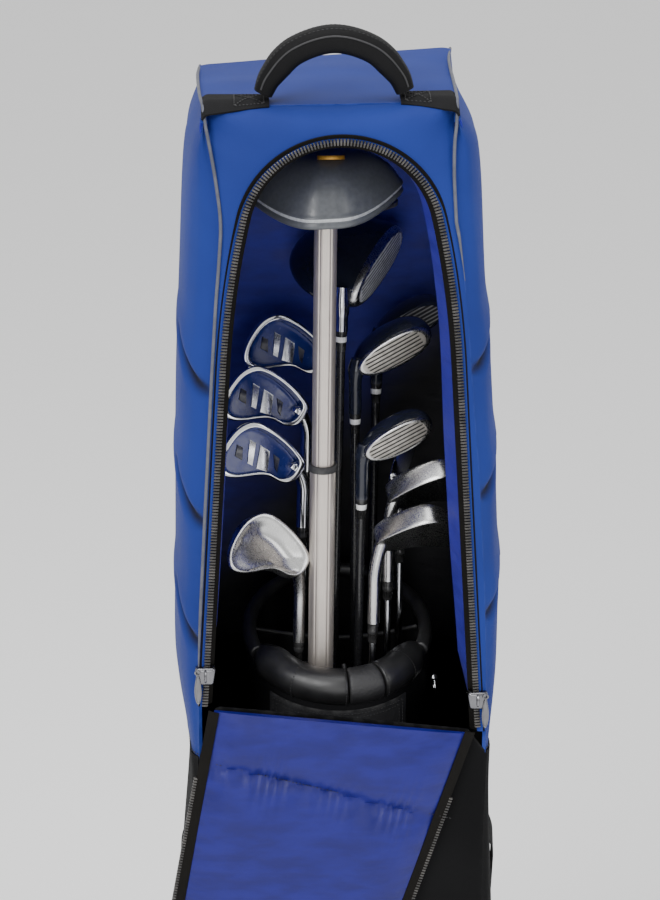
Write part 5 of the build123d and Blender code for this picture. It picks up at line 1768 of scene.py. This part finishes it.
        patch = shaped_grid("bag_label", 60, 20, surface, (0.16, 0.08))
        SewnCover.face_out(patch)
        use_modifier(patch, "SOLIDIFY", thickness=0.0016, offset=1.0)
        settle(patch, Body.COVER.value, (GRIP_VINYL,), ("bag_trim",))
        rows = []
        for gap in (0.05, 0.10):
            box = [(gap * 0.6, gap), (1 - gap * 0.6, gap), (1 - gap * 0.6, 1 - gap), (gap * 0.6, 1 - gap),
                   (gap * 0.6, gap)]
            for a, b in zip(box, box[1:]):
                steps = np.linspace(0, 1, 30)
                path = surface(a[0] + (b[0] - a[0]) * steps, a[1] + (b[1] - a[1]) * steps)
                away = unit((path - np.array([*self.middle, 0])) * np.array([1, 1, 0]))
                rows.append(stitch_row("hem", path + away * 0.0018, 0.0036, 0.0010))
        settle(joined("label_stitches", rows), Body.COVER.value, (THREAD,))
        x = self.middle[0] + self.half[0] + 0.0030
        turn = np.linspace(0, 2 * math.pi, 49)[:-1]
        ring = np.column_stack([np.full(48, x), -0.030 + 0.0085 * np.cos(turn), 0.758 + 0.0085 * np.sin(turn)])
        ring = np.vstack([ring, ring[:1]])
        hoop = tube("towel_ring", ring, 0.0014, 10, up=(1, 0, 0.01))
        deselect_all()
        bpy.ops.mesh.primitive_uv_sphere_add(segments=20, ring_count=12, radius=0.0048,
                                             location=(x - 0.001, -0.030, 0.768))
        stud = named("stud")
        bpy.ops.object.transform_apply(location=True, rotation=True, scale=True)
        settle(joined("towel_ring", [hoop, stud]), Body.COVER.value, (CHROME,))


# ---------------------------------------------------------------- the support rod
@dataclass
class SupportRod:
    """Telescoping rod with its cushioned head."""
    foot: tuple[float, float, float] = (-0.025, -0.048, 0.058)
    top: tuple[float, float, float] = (-0.010, -0.045, 1.286)
    lower: float = 0.0131
    upper: float = 0.01135
    rim_height: float = 1.2835
    dome_height: float = 1.3375
    fullness: float = 3.3
    outline: Sequence[tuple[float, float]] = ((0.0, -0.0590), (0.022, -0.0560), (0.052, -0.0330), (0.0725, -0.0070),
                                             (0.0745, 0.012), (0.064, 0.0340), (0.038, 0.0565), (0.0, 0.0625))

    def build(self) -> None:
        """Make the tubes and the head, and dress the CAD fittings."""
        self.tubes()
        self.head()
        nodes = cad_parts
        for node, finish in (("rod_foot", RUBBER), ("rod_seal_ring", RUBBER), ("rod_lock_housing", MOULDED),
                             ("rod_lock_button", MOULDED), ("rod_button_spring", STEEL), ("rod_head_core", MOULDED)):
            WARDROBE.dress(nodes[node], finish)

    def at(self, z: float) -> np.ndarray:
        """Middle of the rod at a height."""
        a, b = np.array(self.foot), np.array(self.top)
        return a + (b - a) * (z - a[2]) / (b[2] - a[2])

    def fluted(self, name: str, radius: float, low: float, high: float) -> bpy.types.Object:
        """Drawn tube with shallow flutes down its length.

        Args:
            name: Name of the new piece.
            radius: Outer radius of the tube.
            low: Height of its lower end.
            high: Height of its upper end.

        Returns:
            The new mesh object.
        """
        turn = np.linspace(0, 2 * math.pi, 144, endpoint=False)
        groove = np.zeros(144)
        for centre in np.radians((-122, -62, -10, 50, 110, 170)):
            off = np.abs((turn - centre + math.pi) % (2 * math.pi) - math.pi)
            groove += np.exp(-(off / 0.060) ** 2)
        flat = 0.0010 * np.exp(-((np.abs((turn + 1.52 + math.pi) % (2 * math.pi) - math.pi)) / 0.20) ** 4)
        size = radius - 0.00055 * groove - flat * 0.4
        shape = np.column_stack([size * np.cos(turn), size * np.sin(turn), 0 * turn])
        inner = shape * 0.90
        a, b = self.at(low), self.at(high)
        rings = [inner + a + (0, 0, 0.004), inner + a, shape * 0.985 + a, shape + a + (0, 0, 0.0004)]
        rings += [shape + self.at(z) for z in np.linspace(low + 0.002, high - 0.002, 14)]
        rings += [shape + b - (0, 0, 0.0004), shape * 0.985 + b, inner + b, inner + b - (0, 0, 0.004)]
        return lofted(name, rings, steps=0)

    def tubes(self) -> None:
        """Both tubes of the rod."""
        settle(self.fluted("rod_outer", self.lower, 0.062, 1.0165), Body.COVER.value, (CHAMPAGNE,),
               ("rod_lower_tube",), degrees=30)
        settle(self.fluted("rod_inner", self.upper, 0.985, 1.290), Body.ROD.value, (CHAMPAGNE,),
               ("rod_upper_tube",), degrees=30)

    def rim_z(self, y: np.ndarray) -> np.ndarray:
        """Height of the head's rim, which rises from its front corner."""
        share = np.clip((y + 0.100) / 0.062, 0, 1)
        return self.rim_height + 0.0165 * (3 * share**2 - 2 * share**3)

    def head(self) -> None:
        """Domed three-cornered head with a rolled rim."""
        right = np.array(self.outline)
        whole = np.vstack([right, (right[1:-1] * np.array([-1.0, 1.0]))[::-1]])
        edge = curve_points(whole, 96, closed=True)
        centre = np.array([self.top[0], -0.0415])
        middle = np.array([*centre, 0.0])
        flat = np.column_stack([edge, np.zeros(96)]) + middle

        def ring(scale: float, rise: float, crown: float) -> np.ndarray:
            """Ring at a share of the outline, lifted off the rim and up the dome."""
            spots = middle + (flat - middle) * scale
            base = self.rim_z(flat[:, 1]) * (1 - crown) + self.dome_height * crown
            spots[:, 2] = base + rise
            return spots

        def dome(scale: float) -> float:
            """Share of the dome's height at a share of the outline."""
            return 1 - scale**self.fullness

        rings = [ring(0.40, -0.004, 0.0), ring(0.86, -0.006, 0.0), ring(0.965, -0.0065, 0.0),
                 ring(1.0, -0.0050, 0.0), ring(1.012, -0.0028, 0.0), ring(1.0, -0.0008, 0.0),
                 ring(0.988, -0.0002, 0.0), ring(0.984, 0.0014, 0.0), ring(1.0, 0.0026, 0.0),
                 ring(1.005, 0.0046, 0.0), ring(0.992, 0.0066, 0.0), ring(0.965, 0.0060, 0.03)]
        rings += [ring(s, 0.0058 * s, dome(s)) for s in (0.90, 0.80, 0.68, 0.55, 0.42, 0.30, 0.18, 0.08)]
        piece = lofted("rod_head", rings, steps=1)
        level = bands(piece)
        paint_faces(piece, np.where((level >= 8) & (level <= 9), 1, 0))
        lean = coordinates(piece)
        lean[:, 2] += (lean[:, 0] - self.top[0]) * 0.045
        place_vertices(piece, lean)
        settle(piece, Body.ROD.value, (SOFT_SHELL, BEAD), ("rod_head_shell", "rod_head_bead"),
               degrees=70)
        deselect_all()
        bpy.ops.mesh.primitive_cylinder_add(vertices=48, radius=1.0, depth=1.0)
        plug = bevelled("head_plug", offset=0.12, segments=3, clamp_overlap=True)
        spots = coordinates(plug) * np.array([0.0135, 0.0105, 0.0040])
        place = np.array([-0.006, -0.064, 0.0])
        scale = 0.36
        place_z = (self.rim_z(np.array([0.0]))[0] * scale**self.fullness
                   + self.dome_height * (1 - scale**self.fullness)) + 0.0030
        tilt = Matrix.Rotation(math.radians(-13), 3, "X")
        spots = np.array([tilt @ Vector(p) for p in spots]) + place + np.array([0, 0, place_z])
        place_vertices(plug, spots)
        settle(plug, Body.ROD.value, (BRONZE,), ("rod_head_plug",))


# ---------------------------------------------------------------- the clubs
class ClubSort(Enum):
    """Sorts of golf club in the bag."""
    DRIVER = "driver"
    FAIRWAY = "fairway"
    HYBRID = "hybrid"
    IRON = "iron"
    WEDGE = "wedge"


@dataclass(frozen=True)
class WoodSize:
    """Sizes of a wood's head and the finishes of its parts."""
    length: float
    depth: float
    height: float
    lead: float
    neck: float
    face: Finish
    rim: Finish
    neck_finish: Finish


@dataclass(frozen=True)
class IronSize:
    """Sizes of an iron's blade."""
    length: float
    toe: float
    heel: float
    sole: float
    top: float
    loft: float
    hosel: float


WOODS = {ClubSort.DRIVER: WoodSize(0.118, 0.104, 0.056, 0.014, 0.052, FACE_STEEL, SATIN_CHROME, CHROME),
         ClubSort.FAIRWAY: WoodSize(0.088, 0.066, 0.038, 0.010, 0.062, FACE_GOLD, SATIN_CHROME, CROWN_PAINT),
         ClubSort.HYBRID: WoodSize(0.080, 0.048, 0.036, 0.010, 0.062, FACE_GOLD, SATIN_CHROME, CROWN_PAINT)}
IRONS = {ClubSort.IRON: IronSize(0.084, 0.066, 0.035, 0.019, 0.0065, 26.0, 0.066),
         ClubSort.WEDGE: IronSize(0.084, 0.072, 0.034, 0.023, 0.005, 50.0, 0.084)}
CAVITY_FLOOR = 0.0034


@dataclass
class GolfClub:
    """One club, built about its own shaft and then stood in the golf bag."""
    name: str
    sort: ClubSort
    head: tuple[float, float, float]
    butt: tuple[float, float]
    azimuth: float
    cavity: Finish = BADGE_BLUE
    floor: float = 0.0585
    lie: float = math.radians(29.0)
    dark: bool = False
    shaft: float = 0.0047
    hosel: float = 0.0066
    ferrule: float = 0.022
    grip: float = 0.267

    def build(self) -> None:
        """Make the head, the shaft with its ferrule, and the grip."""
        body = self.name + "_club"
        node = "club_" + self.name
        parts = self.wood_head() if self.sort in WOODS else self.iron_head()
        for piece, finishes in parts + self.shaft_parts():
            self.stand(piece)
            settle(piece, body, finishes, (node,), degrees=42)

    def ends(self) -> tuple[Vector, Vector]:
        """Head end and butt end of the shaft."""
        return Vector(self.head) * MM, Vector((self.butt[0] * MM, self.butt[1] * MM, self.floor))

    def stand(self, piece: bpy.types.Object) -> None:
        """Move a piece from the club's own coordinates to its place in the bag."""
        head, butt = self.ends()
        up = (head - butt).normalized()
        toe = Vector((math.cos(math.radians(self.azimuth)), math.sin(math.radians(self.azimuth)), 0))
        toe = (toe - up * toe.dot(up)).normalized()
        place = Matrix((toe, up.cross(toe), up)).transposed().to_4x4()
        place.translation = head
        piece.data.transform(place)

    def risen(self, spots: np.ndarray, way: int = 1) -> np.ndarray:
        """Turn points of a head so that its toe rises from the shaft, or back again with a way of -1."""
        c, s = math.cos(way * self.lie), math.sin(way * self.lie)
        return np.column_stack([spots[:, 0] * c - spots[:, 2] * s, spots[:, 1], spots[:, 0] * s + spots[:, 2] * c])

    def wood_head(self) -> list[tuple[bpy.types.Object, tuple[Finish, ...]]]:
        """Head with a scored face, a bright rim and a painted crown, and its neck."""
        size = WOODS[self.sort]
        middle = np.array([size.length / 2 - size.lead, 0.0, -size.height / 2])
        turn = np.linspace(0, 2 * math.pi, 64, endpoint=False)
        cos, sin = np.cos(turn), np.sin(turn)
        egg = 1 + 0.10 * cos
        shape = np.column_stack([np.sign(cos) * np.abs(cos) ** 0.92, 0 * cos,
                                 np.sign(sin) * np.abs(sin) ** 0.9 * egg])
        steps = [(-0.012, 0.30, 0.28), (-0.008, 0.62, 0.58), (0.0, 0.845, 0.79), (0.004, 0.875, 0.83),
                 (0.022, 0.915, 0.875), (0.050, 0.945, 0.915), (0.14, 0.985, 0.97), (0.28, 1.0, 1.0),
                 (0.45, 0.97, 0.97), (0.62, 0.88, 0.86), (0.78, 0.71, 0.68), (0.90, 0.49, 0.46), (0.97, 0.27, 0.26)]
        rings = []
        for along, wide, tall in steps:
            spots = shape * np.array([wide * size.length / 2, 1, tall * size.height / 2])
            lean = -spots[:, 2] * math.tan(math.radians(14)) * math.exp(-max(0.0, along) * 9)
            spots[:, 1] = -size.lead + along * size.depth + lean
            lift = 0.0 if along < 0.05 else size.height * 0.10 * (along - 0.05)
            spots[:, 2] += lift
            rings.append(self.risen(spots + middle))
        head = lofted(self.name + "_head", rings, steps=1)
        level = bands(head)
        paint_faces(head, np.where(level <= 2, 0, np.where(level <= 5, 1, 2)))
        keep_attribute(head, "own", self.risen(coordinates(head), -1) - middle)
        neck_line = np.array([(0, 0, -size.neck - size.lead / 2), (0, 0, -size.neck * 0.7),
                              (0, 0, -size.height * 0.80),
                              (0.001, 0.001, -size.height * 0.55), (0.003, 0.002, -size.height * 0.25)])
        flare = np.array([self.hosel, self.hosel, self.hosel * 1.04, self.hosel * 1.3, self.hosel * 1.1])
        fine = curve_points(np.column_stack([neck_line, flare]), 26)
        neck = tube(self.name + "_neck", fine[:, :3], fine[:, 3], 24, up=(0, 1, 0))
        front = (FACE_DARK, CROWN_PAINT) if self.dark else (size.face, size.rim)
        return [(head, (*front, CROWN_PAINT)), (neck, (size.neck_finish,))]

    def iron_head(self) -> list[tuple[bpy.types.Object, tuple[Finish, ...]]]:
        """Forged blade: a cavity with its badge on an iron, a plain muscle on a wedge."""
        size = IRONS[self.sort]
        lean = math.radians(size.loft)
        top_way = np.array([0, math.sin(lean), -math.cos(lean)])
        back_way = np.array([0, math.cos(lean), math.sin(lean)])
        long, toe, heel = size.length, size.toe, size.heel
        wedge = self.sort is ClubSort.WEDGE
        points = [(0.05 * long, 0.06 * toe), (0.30 * long, -0.02 * toe), (0.60 * long, -0.03 * toe),
                  (0.86 * long, 0.05 * toe), (0.985 * long, 0.28 * toe), (long, 0.58 * toe),
                  (0.95 * long, 0.86 * toe), (0.84 * long, toe), (0.66 * long, 0.93 * toe),
                  (0.36 * long, 0.5 * (toe * 0.68 + heel)), (0.12 * long, heel), (0.0, heel * 0.72),
                  (0.0, heel * 0.32)]
        edge = curve_points(points, 72, closed=True)
        middle = np.array([0.54 * long, 0.44 * toe])
        share = np.clip(edge[:, 1] / toe, 0, 1)
        thick = size.top + (size.sole - size.top) * (1 - share) ** (1.5 if wedge else 1.15)
        start = np.array([-self.hosel / 2, -self.hosel, 0.0])

        def ring(scale: float, depth: np.ndarray | float, drop: float = 0.0) -> np.ndarray:
            """Ring of the blade at a share of its outline and a depth behind the face."""
            flat = middle + (edge - middle) * scale
            back = np.broadcast_to(np.asarray(depth, float), (72,))
            spots = (start + flat[:, :1] * np.array([1.0, 0, 0]) + flat[:, 1:] * top_way
                     + back[:, None] * back_way + drop * top_way)
            return self.risen(spots)

        base = [ring(0.55, 0.0), ring(0.90, 0.0), ring(0.965, 0.0), ring(0.99, 0.0005), ring(1.0, 0.0016),
                ring(1.0, thick - 0.0022), ring(0.985, thick - 0.0006), ring(0.955, thick)]
        if wedge:
            flat_floor = size.top + (size.sole - size.top) * np.clip(1 - share * 1.7, 0, 1) ** 1.3
            base += [ring(0.90, thick * 0.97), ring(0.80, flat_floor * 0.9 + 0.0006), ring(0.60, 0.0068),
                     ring(0.30, 0.0064)]
            finishes: tuple[Finish, ...] = (SATIN_CHROME,) * 3
        else:
            floor = CAVITY_FLOOR
            base += [ring(0.865, thick), ring(0.845, thick - 0.0006), ring(0.83, floor + 0.0010),
                     ring(0.81, floor + 0.0002), ring(0.60, floor), ring(0.30, floor)]
            finishes = (FACE_STEEL, CHROME, self.cavity)
        blade = lofted(self.name + "_head", base, steps=1)
        level = bands(blade)
        paint_faces(blade, np.where(level <= 2, 0, np.where(level <= 10, 1, 2)))
        spots = coordinates(blade)
        keep_attribute(blade, "own", spots - spots.mean(axis=0))
        drop_low = -size.hosel - self.hosel
        half = heel * 0.5
        joint = self.risen((start + 0.10 * long * np.array([[1.0, 0, 0]]) + half * top_way
                            + size.sole * 0.32 * back_way))[0]
        path = np.array([(0, 0, drop_low), (0, 0, drop_low * 0.66), (0, 0, drop_low * 0.40),
                         tuple(joint * 0.30 + np.array([0, 0, drop_low * 0.17])), tuple(joint * 0.75), tuple(joint)])
        wide = np.array([self.hosel, self.hosel * 0.99, self.hosel * 0.97, self.hosel * 1.02, self.hosel * 1.10,
                         self.hosel * 0.95])
        fine = curve_points(np.column_stack([path, wide]), 34)
        neck = tube(self.name + "_hosel", fine[:, :3], fine[:, 3], 24, up=(0, 1, 0.02))
        parts = [(blade, finishes), (neck, (SATIN_CHROME if wedge else CHROME,))]
        if not wedge:
            parts.append((self.badge(middle, start, top_way, back_way), (BADGE_SILVER, BADGE_DARK)))
        return parts

    def badge(self, middle: np.ndarray, start: np.ndarray, top_way: np.ndarray, back_way: np.ndarray
              ) -> bpy.types.Object:
        """Plain angular plates set in the cavity, of no maker's design.

        Args:
            middle: Middle of the blade along and up it.
            start: Corner that the blade is measured from.
            top_way: Direction from the sole to the top line.
            back_way: Direction behind the face.

        Returns:
            The plates as one mesh object, its second finish on the dark one.
        """
        plates = (((-0.017, 0.006), (-0.005, 0.010), (0.005, -0.012), (-0.007, -0.013), 0),
                  ((0.000, 0.010), (0.006, 0.011), (0.018, -0.010), (0.010, -0.011), 0),
                  ((0.012, 0.012), (0.021, 0.013), (0.026, 0.002), (0.019, 0.001), 1),
                  ((-0.026, 0.000), (-0.021, -0.002), (-0.012, -0.013), (-0.020, -0.013), 1))
        made = []
        for a, b, c, d, number in plates:
            corners = np.array([a, b, c, d])

            def ring(scale: float, rise: float, corners: np.ndarray = corners) -> np.ndarray:
                """Outline of the plate at a rise above the floor."""
                flat = middle + corners.mean(axis=0) + (corners - corners.mean(axis=0)) * scale
                spots = (start + flat[:, :1] * np.array([1.0, 0, 0]) + flat[:, 1:] * top_way
                         + (CAVITY_FLOOR + rise) * back_way)
                return self.risen(spots)

            plate = lofted("plate", [ring(1.0, -0.0006), ring(1.0, 0.0008), ring(0.9, 0.0013)], steps=0)
            numbered(plate, (BADGE_SILVER, BADGE_DARK), number)
            made.append(plate)
        return joined(self.name + "_badge", made)

    def shaft_parts(self) -> list[tuple[bpy.types.Object, tuple[Finish, ...]]]:
        """Stepped shaft, ferrule with its band, and ribbed grip."""
        head, butt = self.ends()
        long = (head - butt).length
        wood = self.sort in WOODS
        if wood:
            low = -WOODS[self.sort].neck - WOODS[self.sort].lead / 2
        else:
            low = -IRONS[self.sort].hosel - self.hosel
        under, grip_top = low - self.ferrule, -long + self.grip
        turn = np.linspace(0, 2 * math.pi, 24, endpoint=False)
        circle = np.column_stack([np.cos(turn), np.sin(turn), 0 * turn])

        def rod(spans: Sequence[tuple[float, float]]) -> list[np.ndarray]:
            """Rings from pairs of height and radius."""
            return [circle * r + np.array([0, 0, z]) for z, r in spans]

        spans = [(grip_top - 0.002, self.shaft * 0.9)]
        steps = 9
        for index in range(steps):
            a = grip_top + (under - grip_top) * index / steps
            b = grip_top + (under - grip_top) * (index + 1) / steps
            radius = self.shaft * (1.0 - (0.0 if wood else 0.022 * index))
            spans += [(a + 0.0006, radius), (b - 0.0006, radius)]
        shaft = lofted(self.name + "_shaft", rod(spans + [(under + 0.003, self.shaft * 0.8)]), steps=0)
        band = WHITE_BAND if wood else FERRULE
        collar = lofted(self.name + "_ferrule", rod([
            (under, self.shaft), (under + 0.0005, self.shaft * 1.06), (under + 0.010, self.shaft * 1.15),
            (under + 0.0103, self.shaft * 1.19), (under + 0.0155, self.shaft * 1.22),
            (under + 0.0158, self.shaft * 1.19), (low - 0.0005, self.hosel * 0.96), (low, self.hosel * 0.9)]),
                        steps=0)
        level = bands(collar)
        paint_faces(collar, np.where((level >= 4) & (level <= 5), 1, 0))
        ribs = [(-long + 0.0005, 0.0122), (-long + 0.002, 0.0132), (-long + 0.006, 0.0132)]
        for index in range(22):
            z = -long + 0.010 + (self.grip - 0.014) * index / 22
            radius = 0.0128 - 0.0034 * index / 22
            ribs += [(z, radius), (z + 0.008, radius), (z + 0.0085, radius - 0.0007), (z + 0.0105, radius - 0.0007)]
        ribs += [(grip_top - 0.001, 0.0093), (grip_top, 0.0086)]
        grip = lofted(self.name + "_grip", rod(ribs), steps=0)
        return [(shaft, (GRAPHITE if wood else SHAFT_STEEL,)), (collar, (FERRULE, band)), (grip, (CLUB_GRIP,))]


CLUBS = (
    GolfClub("driver", ClubSort.DRIVER, (10, 24, 1196), (-14, 8), 56),
    GolfClub("fairway_wood", ClubSort.FAIRWAY, (23, 19, 1116), (22, 18), 2),
    GolfClub("utility_wood", ClubSort.HYBRID, (50, 86, 1126), (31, 56), 4, dark=True),
    GolfClub("hybrid", ClubSort.HYBRID, (29, -14, 1034), (14, -14), 2),
    GolfClub("iron_5", ClubSort.IRON, (-2, 88, 1092), (2, 86), 182, lie=math.radians(39.0)),
    GolfClub("iron_6", ClubSort.IRON, (-26, 48, 1048), (-44, 38), 182, lie=math.radians(39.0)),
    GolfClub("iron_7", ClubSort.IRON, (-31, 10, 1000), (-50, 2), 182, lie=math.radians(39.0)),
    GolfClub("iron_9", ClubSort.IRON, (71, 18, 976), (64, 12), 72),
    GolfClub("pitching_wedge", ClubSort.WEDGE, (56, -15, 966), (52, -22), -16),
    GolfClub("sand_wedge", ClubSort.WEDGE, (41, -46, 932), (18, -60), -22),
    GolfClub("lob_wedge", ClubSort.WEDGE, (-36, -37, 908), (-56, -34), 186, lie=math.radians(46.0)),
)


# ---------------------------------------------------------------- base and studio
@dataclass
class RollingBase:
    """Tray, feet, rails, wheels and the foam pad under the golf bag."""

    def build(self) -> None:
        """Dress the CAD pieces and swell the pad."""
        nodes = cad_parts
        finishes = {"base_tray": MOULDED, "base_feet": RUBBER, "skid_rails": MOULDED, "wheel_brackets": MOULDED,
                    "wheel_axles": STEEL}
        for side in ("left", "right"):
            finishes |= {"wheel_tyre_" + side: TYRE, "wheel_hub_" + side: WHEEL_CORE,
                         "wheel_bearings_" + side: STEEL}
        for node, finish in finishes.items():
            WARDROBE.dress(nodes[node], finish)
        pad = swollen("base_pad", "base_cushion", 0.005, 0.005, 0.003)
        without_fold_shade(pad)
        settle(pad, Body.COVER.value, (BLACK_CLOTH,), ("base_pad",))


@dataclass
class Studio:
    """Pale floor, soft lights and the camera."""
    place: tuple[float, float, float] = (-0.1152, -2.3572, 1.907)
    forward: tuple[float, float, float] = (0.0441, 0.9344, -0.3535)
    lens: float = 98.0
    floor_colour: Colour = (0.97, 0.97, 0.97)

    def build(self) -> None:
        """Set up the floor, the lights, the sky and the camera."""
        self.floor()
        self.sky()
        self.light("key", (-1.6, -2.3, 3.0), (0, 0, 1.0), 1.6, 88.0)
        self.light("fill", (2.2, -1.9, 2.0), (0, 0, 1.0), 1.8, 30.0)
        self.light("front", (-0.3, -3.2, 1.1), (0, 0, 0.95), 1.4, 16.0)
        self.light("top", (0.0, -0.2, 3.2), (0, 0, 1.2), 1.6, 34.0)
        self.camera()

    def floor(self) -> None:
        """Wide plain floor with a faint mottle."""
        deselect_all()
        bpy.ops.mesh.primitive_plane_add(size=60)
        ground = named("studio_floor")
        material = bpy.data.materials.new("studio paper")
        material.use_nodes = True
        sheet = NodeSheet(material.node_tree)
        shader = material.node_tree.nodes["Principled BSDF"]
        cloud = sheet.noise(Finish.object_place(sheet), 3.0, 2.0)
        edge = tuple(c * 0.985 for c in self.floor_colour)
        sheet.wire(sheet.mixed(cloud, self.floor_colour, edge), shader.inputs["Base Color"])
        shader.inputs["Roughness"].default_value = 0.9
        ground.data.materials.append(material)

    @staticmethod
    def sky() -> None:
        """Even pale surroundings."""
        world = bpy.data.worlds.new("studio")
        bpy.context.scene.world = world
        world.use_nodes = True
        background = world.node_tree.nodes["Background"]
        background.inputs[0].default_value = (1, 1, 1, 1)
        background.inputs[1].default_value = 0.95

    @staticmethod
    def light(name: str, place: Sequence[float], target: Sequence[float], size: float, power: float) -> None:
        """Add a square soft light.

        Args:
            name: Name of the light.
            place: Where it stands.
            target: Point that it faces.
            size: Length of its side, in metres.
            power: Strength, in watts.
        """
        data = bpy.data.lights.new(name, "AREA")
        data.energy, data.size = power, size
        lamp = bpy.data.objects.new(name, data)
        bpy.context.scene.collection.objects.link(lamp)
        lamp.location = place
        way = Vector(target) - Vector(place)
        lamp.rotation_euler = way.to_track_quat("-Z", "Y").to_euler()

    def camera(self) -> None:
        """Camera that looks a little down at the open front."""
        data = bpy.data.cameras.new("camera")
        data.lens, data.sensor_width, data.sensor_fit = self.lens, 36.0, "AUTO"
        camera = bpy.data.objects.new("camera", data)
        bpy.context.scene.collection.objects.link(camera)
        camera.location = self.place
        camera.rotation_euler = Vector(self.forward).to_track_quat("-Z", "Y").to_euler()
        bpy.context.scene.camera = camera


def main() -> None:
    """Build every sub-assembly in order."""
    logging.basicConfig(level=logging.INFO, format="%(message)s")
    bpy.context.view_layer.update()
    RollingBase().build()
    SewnCover().build()
    ZipAndFlap().build()
    CarryHandle().build()
    GolfBag().build()
    SupportRod().build()
    for club in CLUBS:
        club.build()
    Studio().build()


if __name__ == "__main__":
    main()
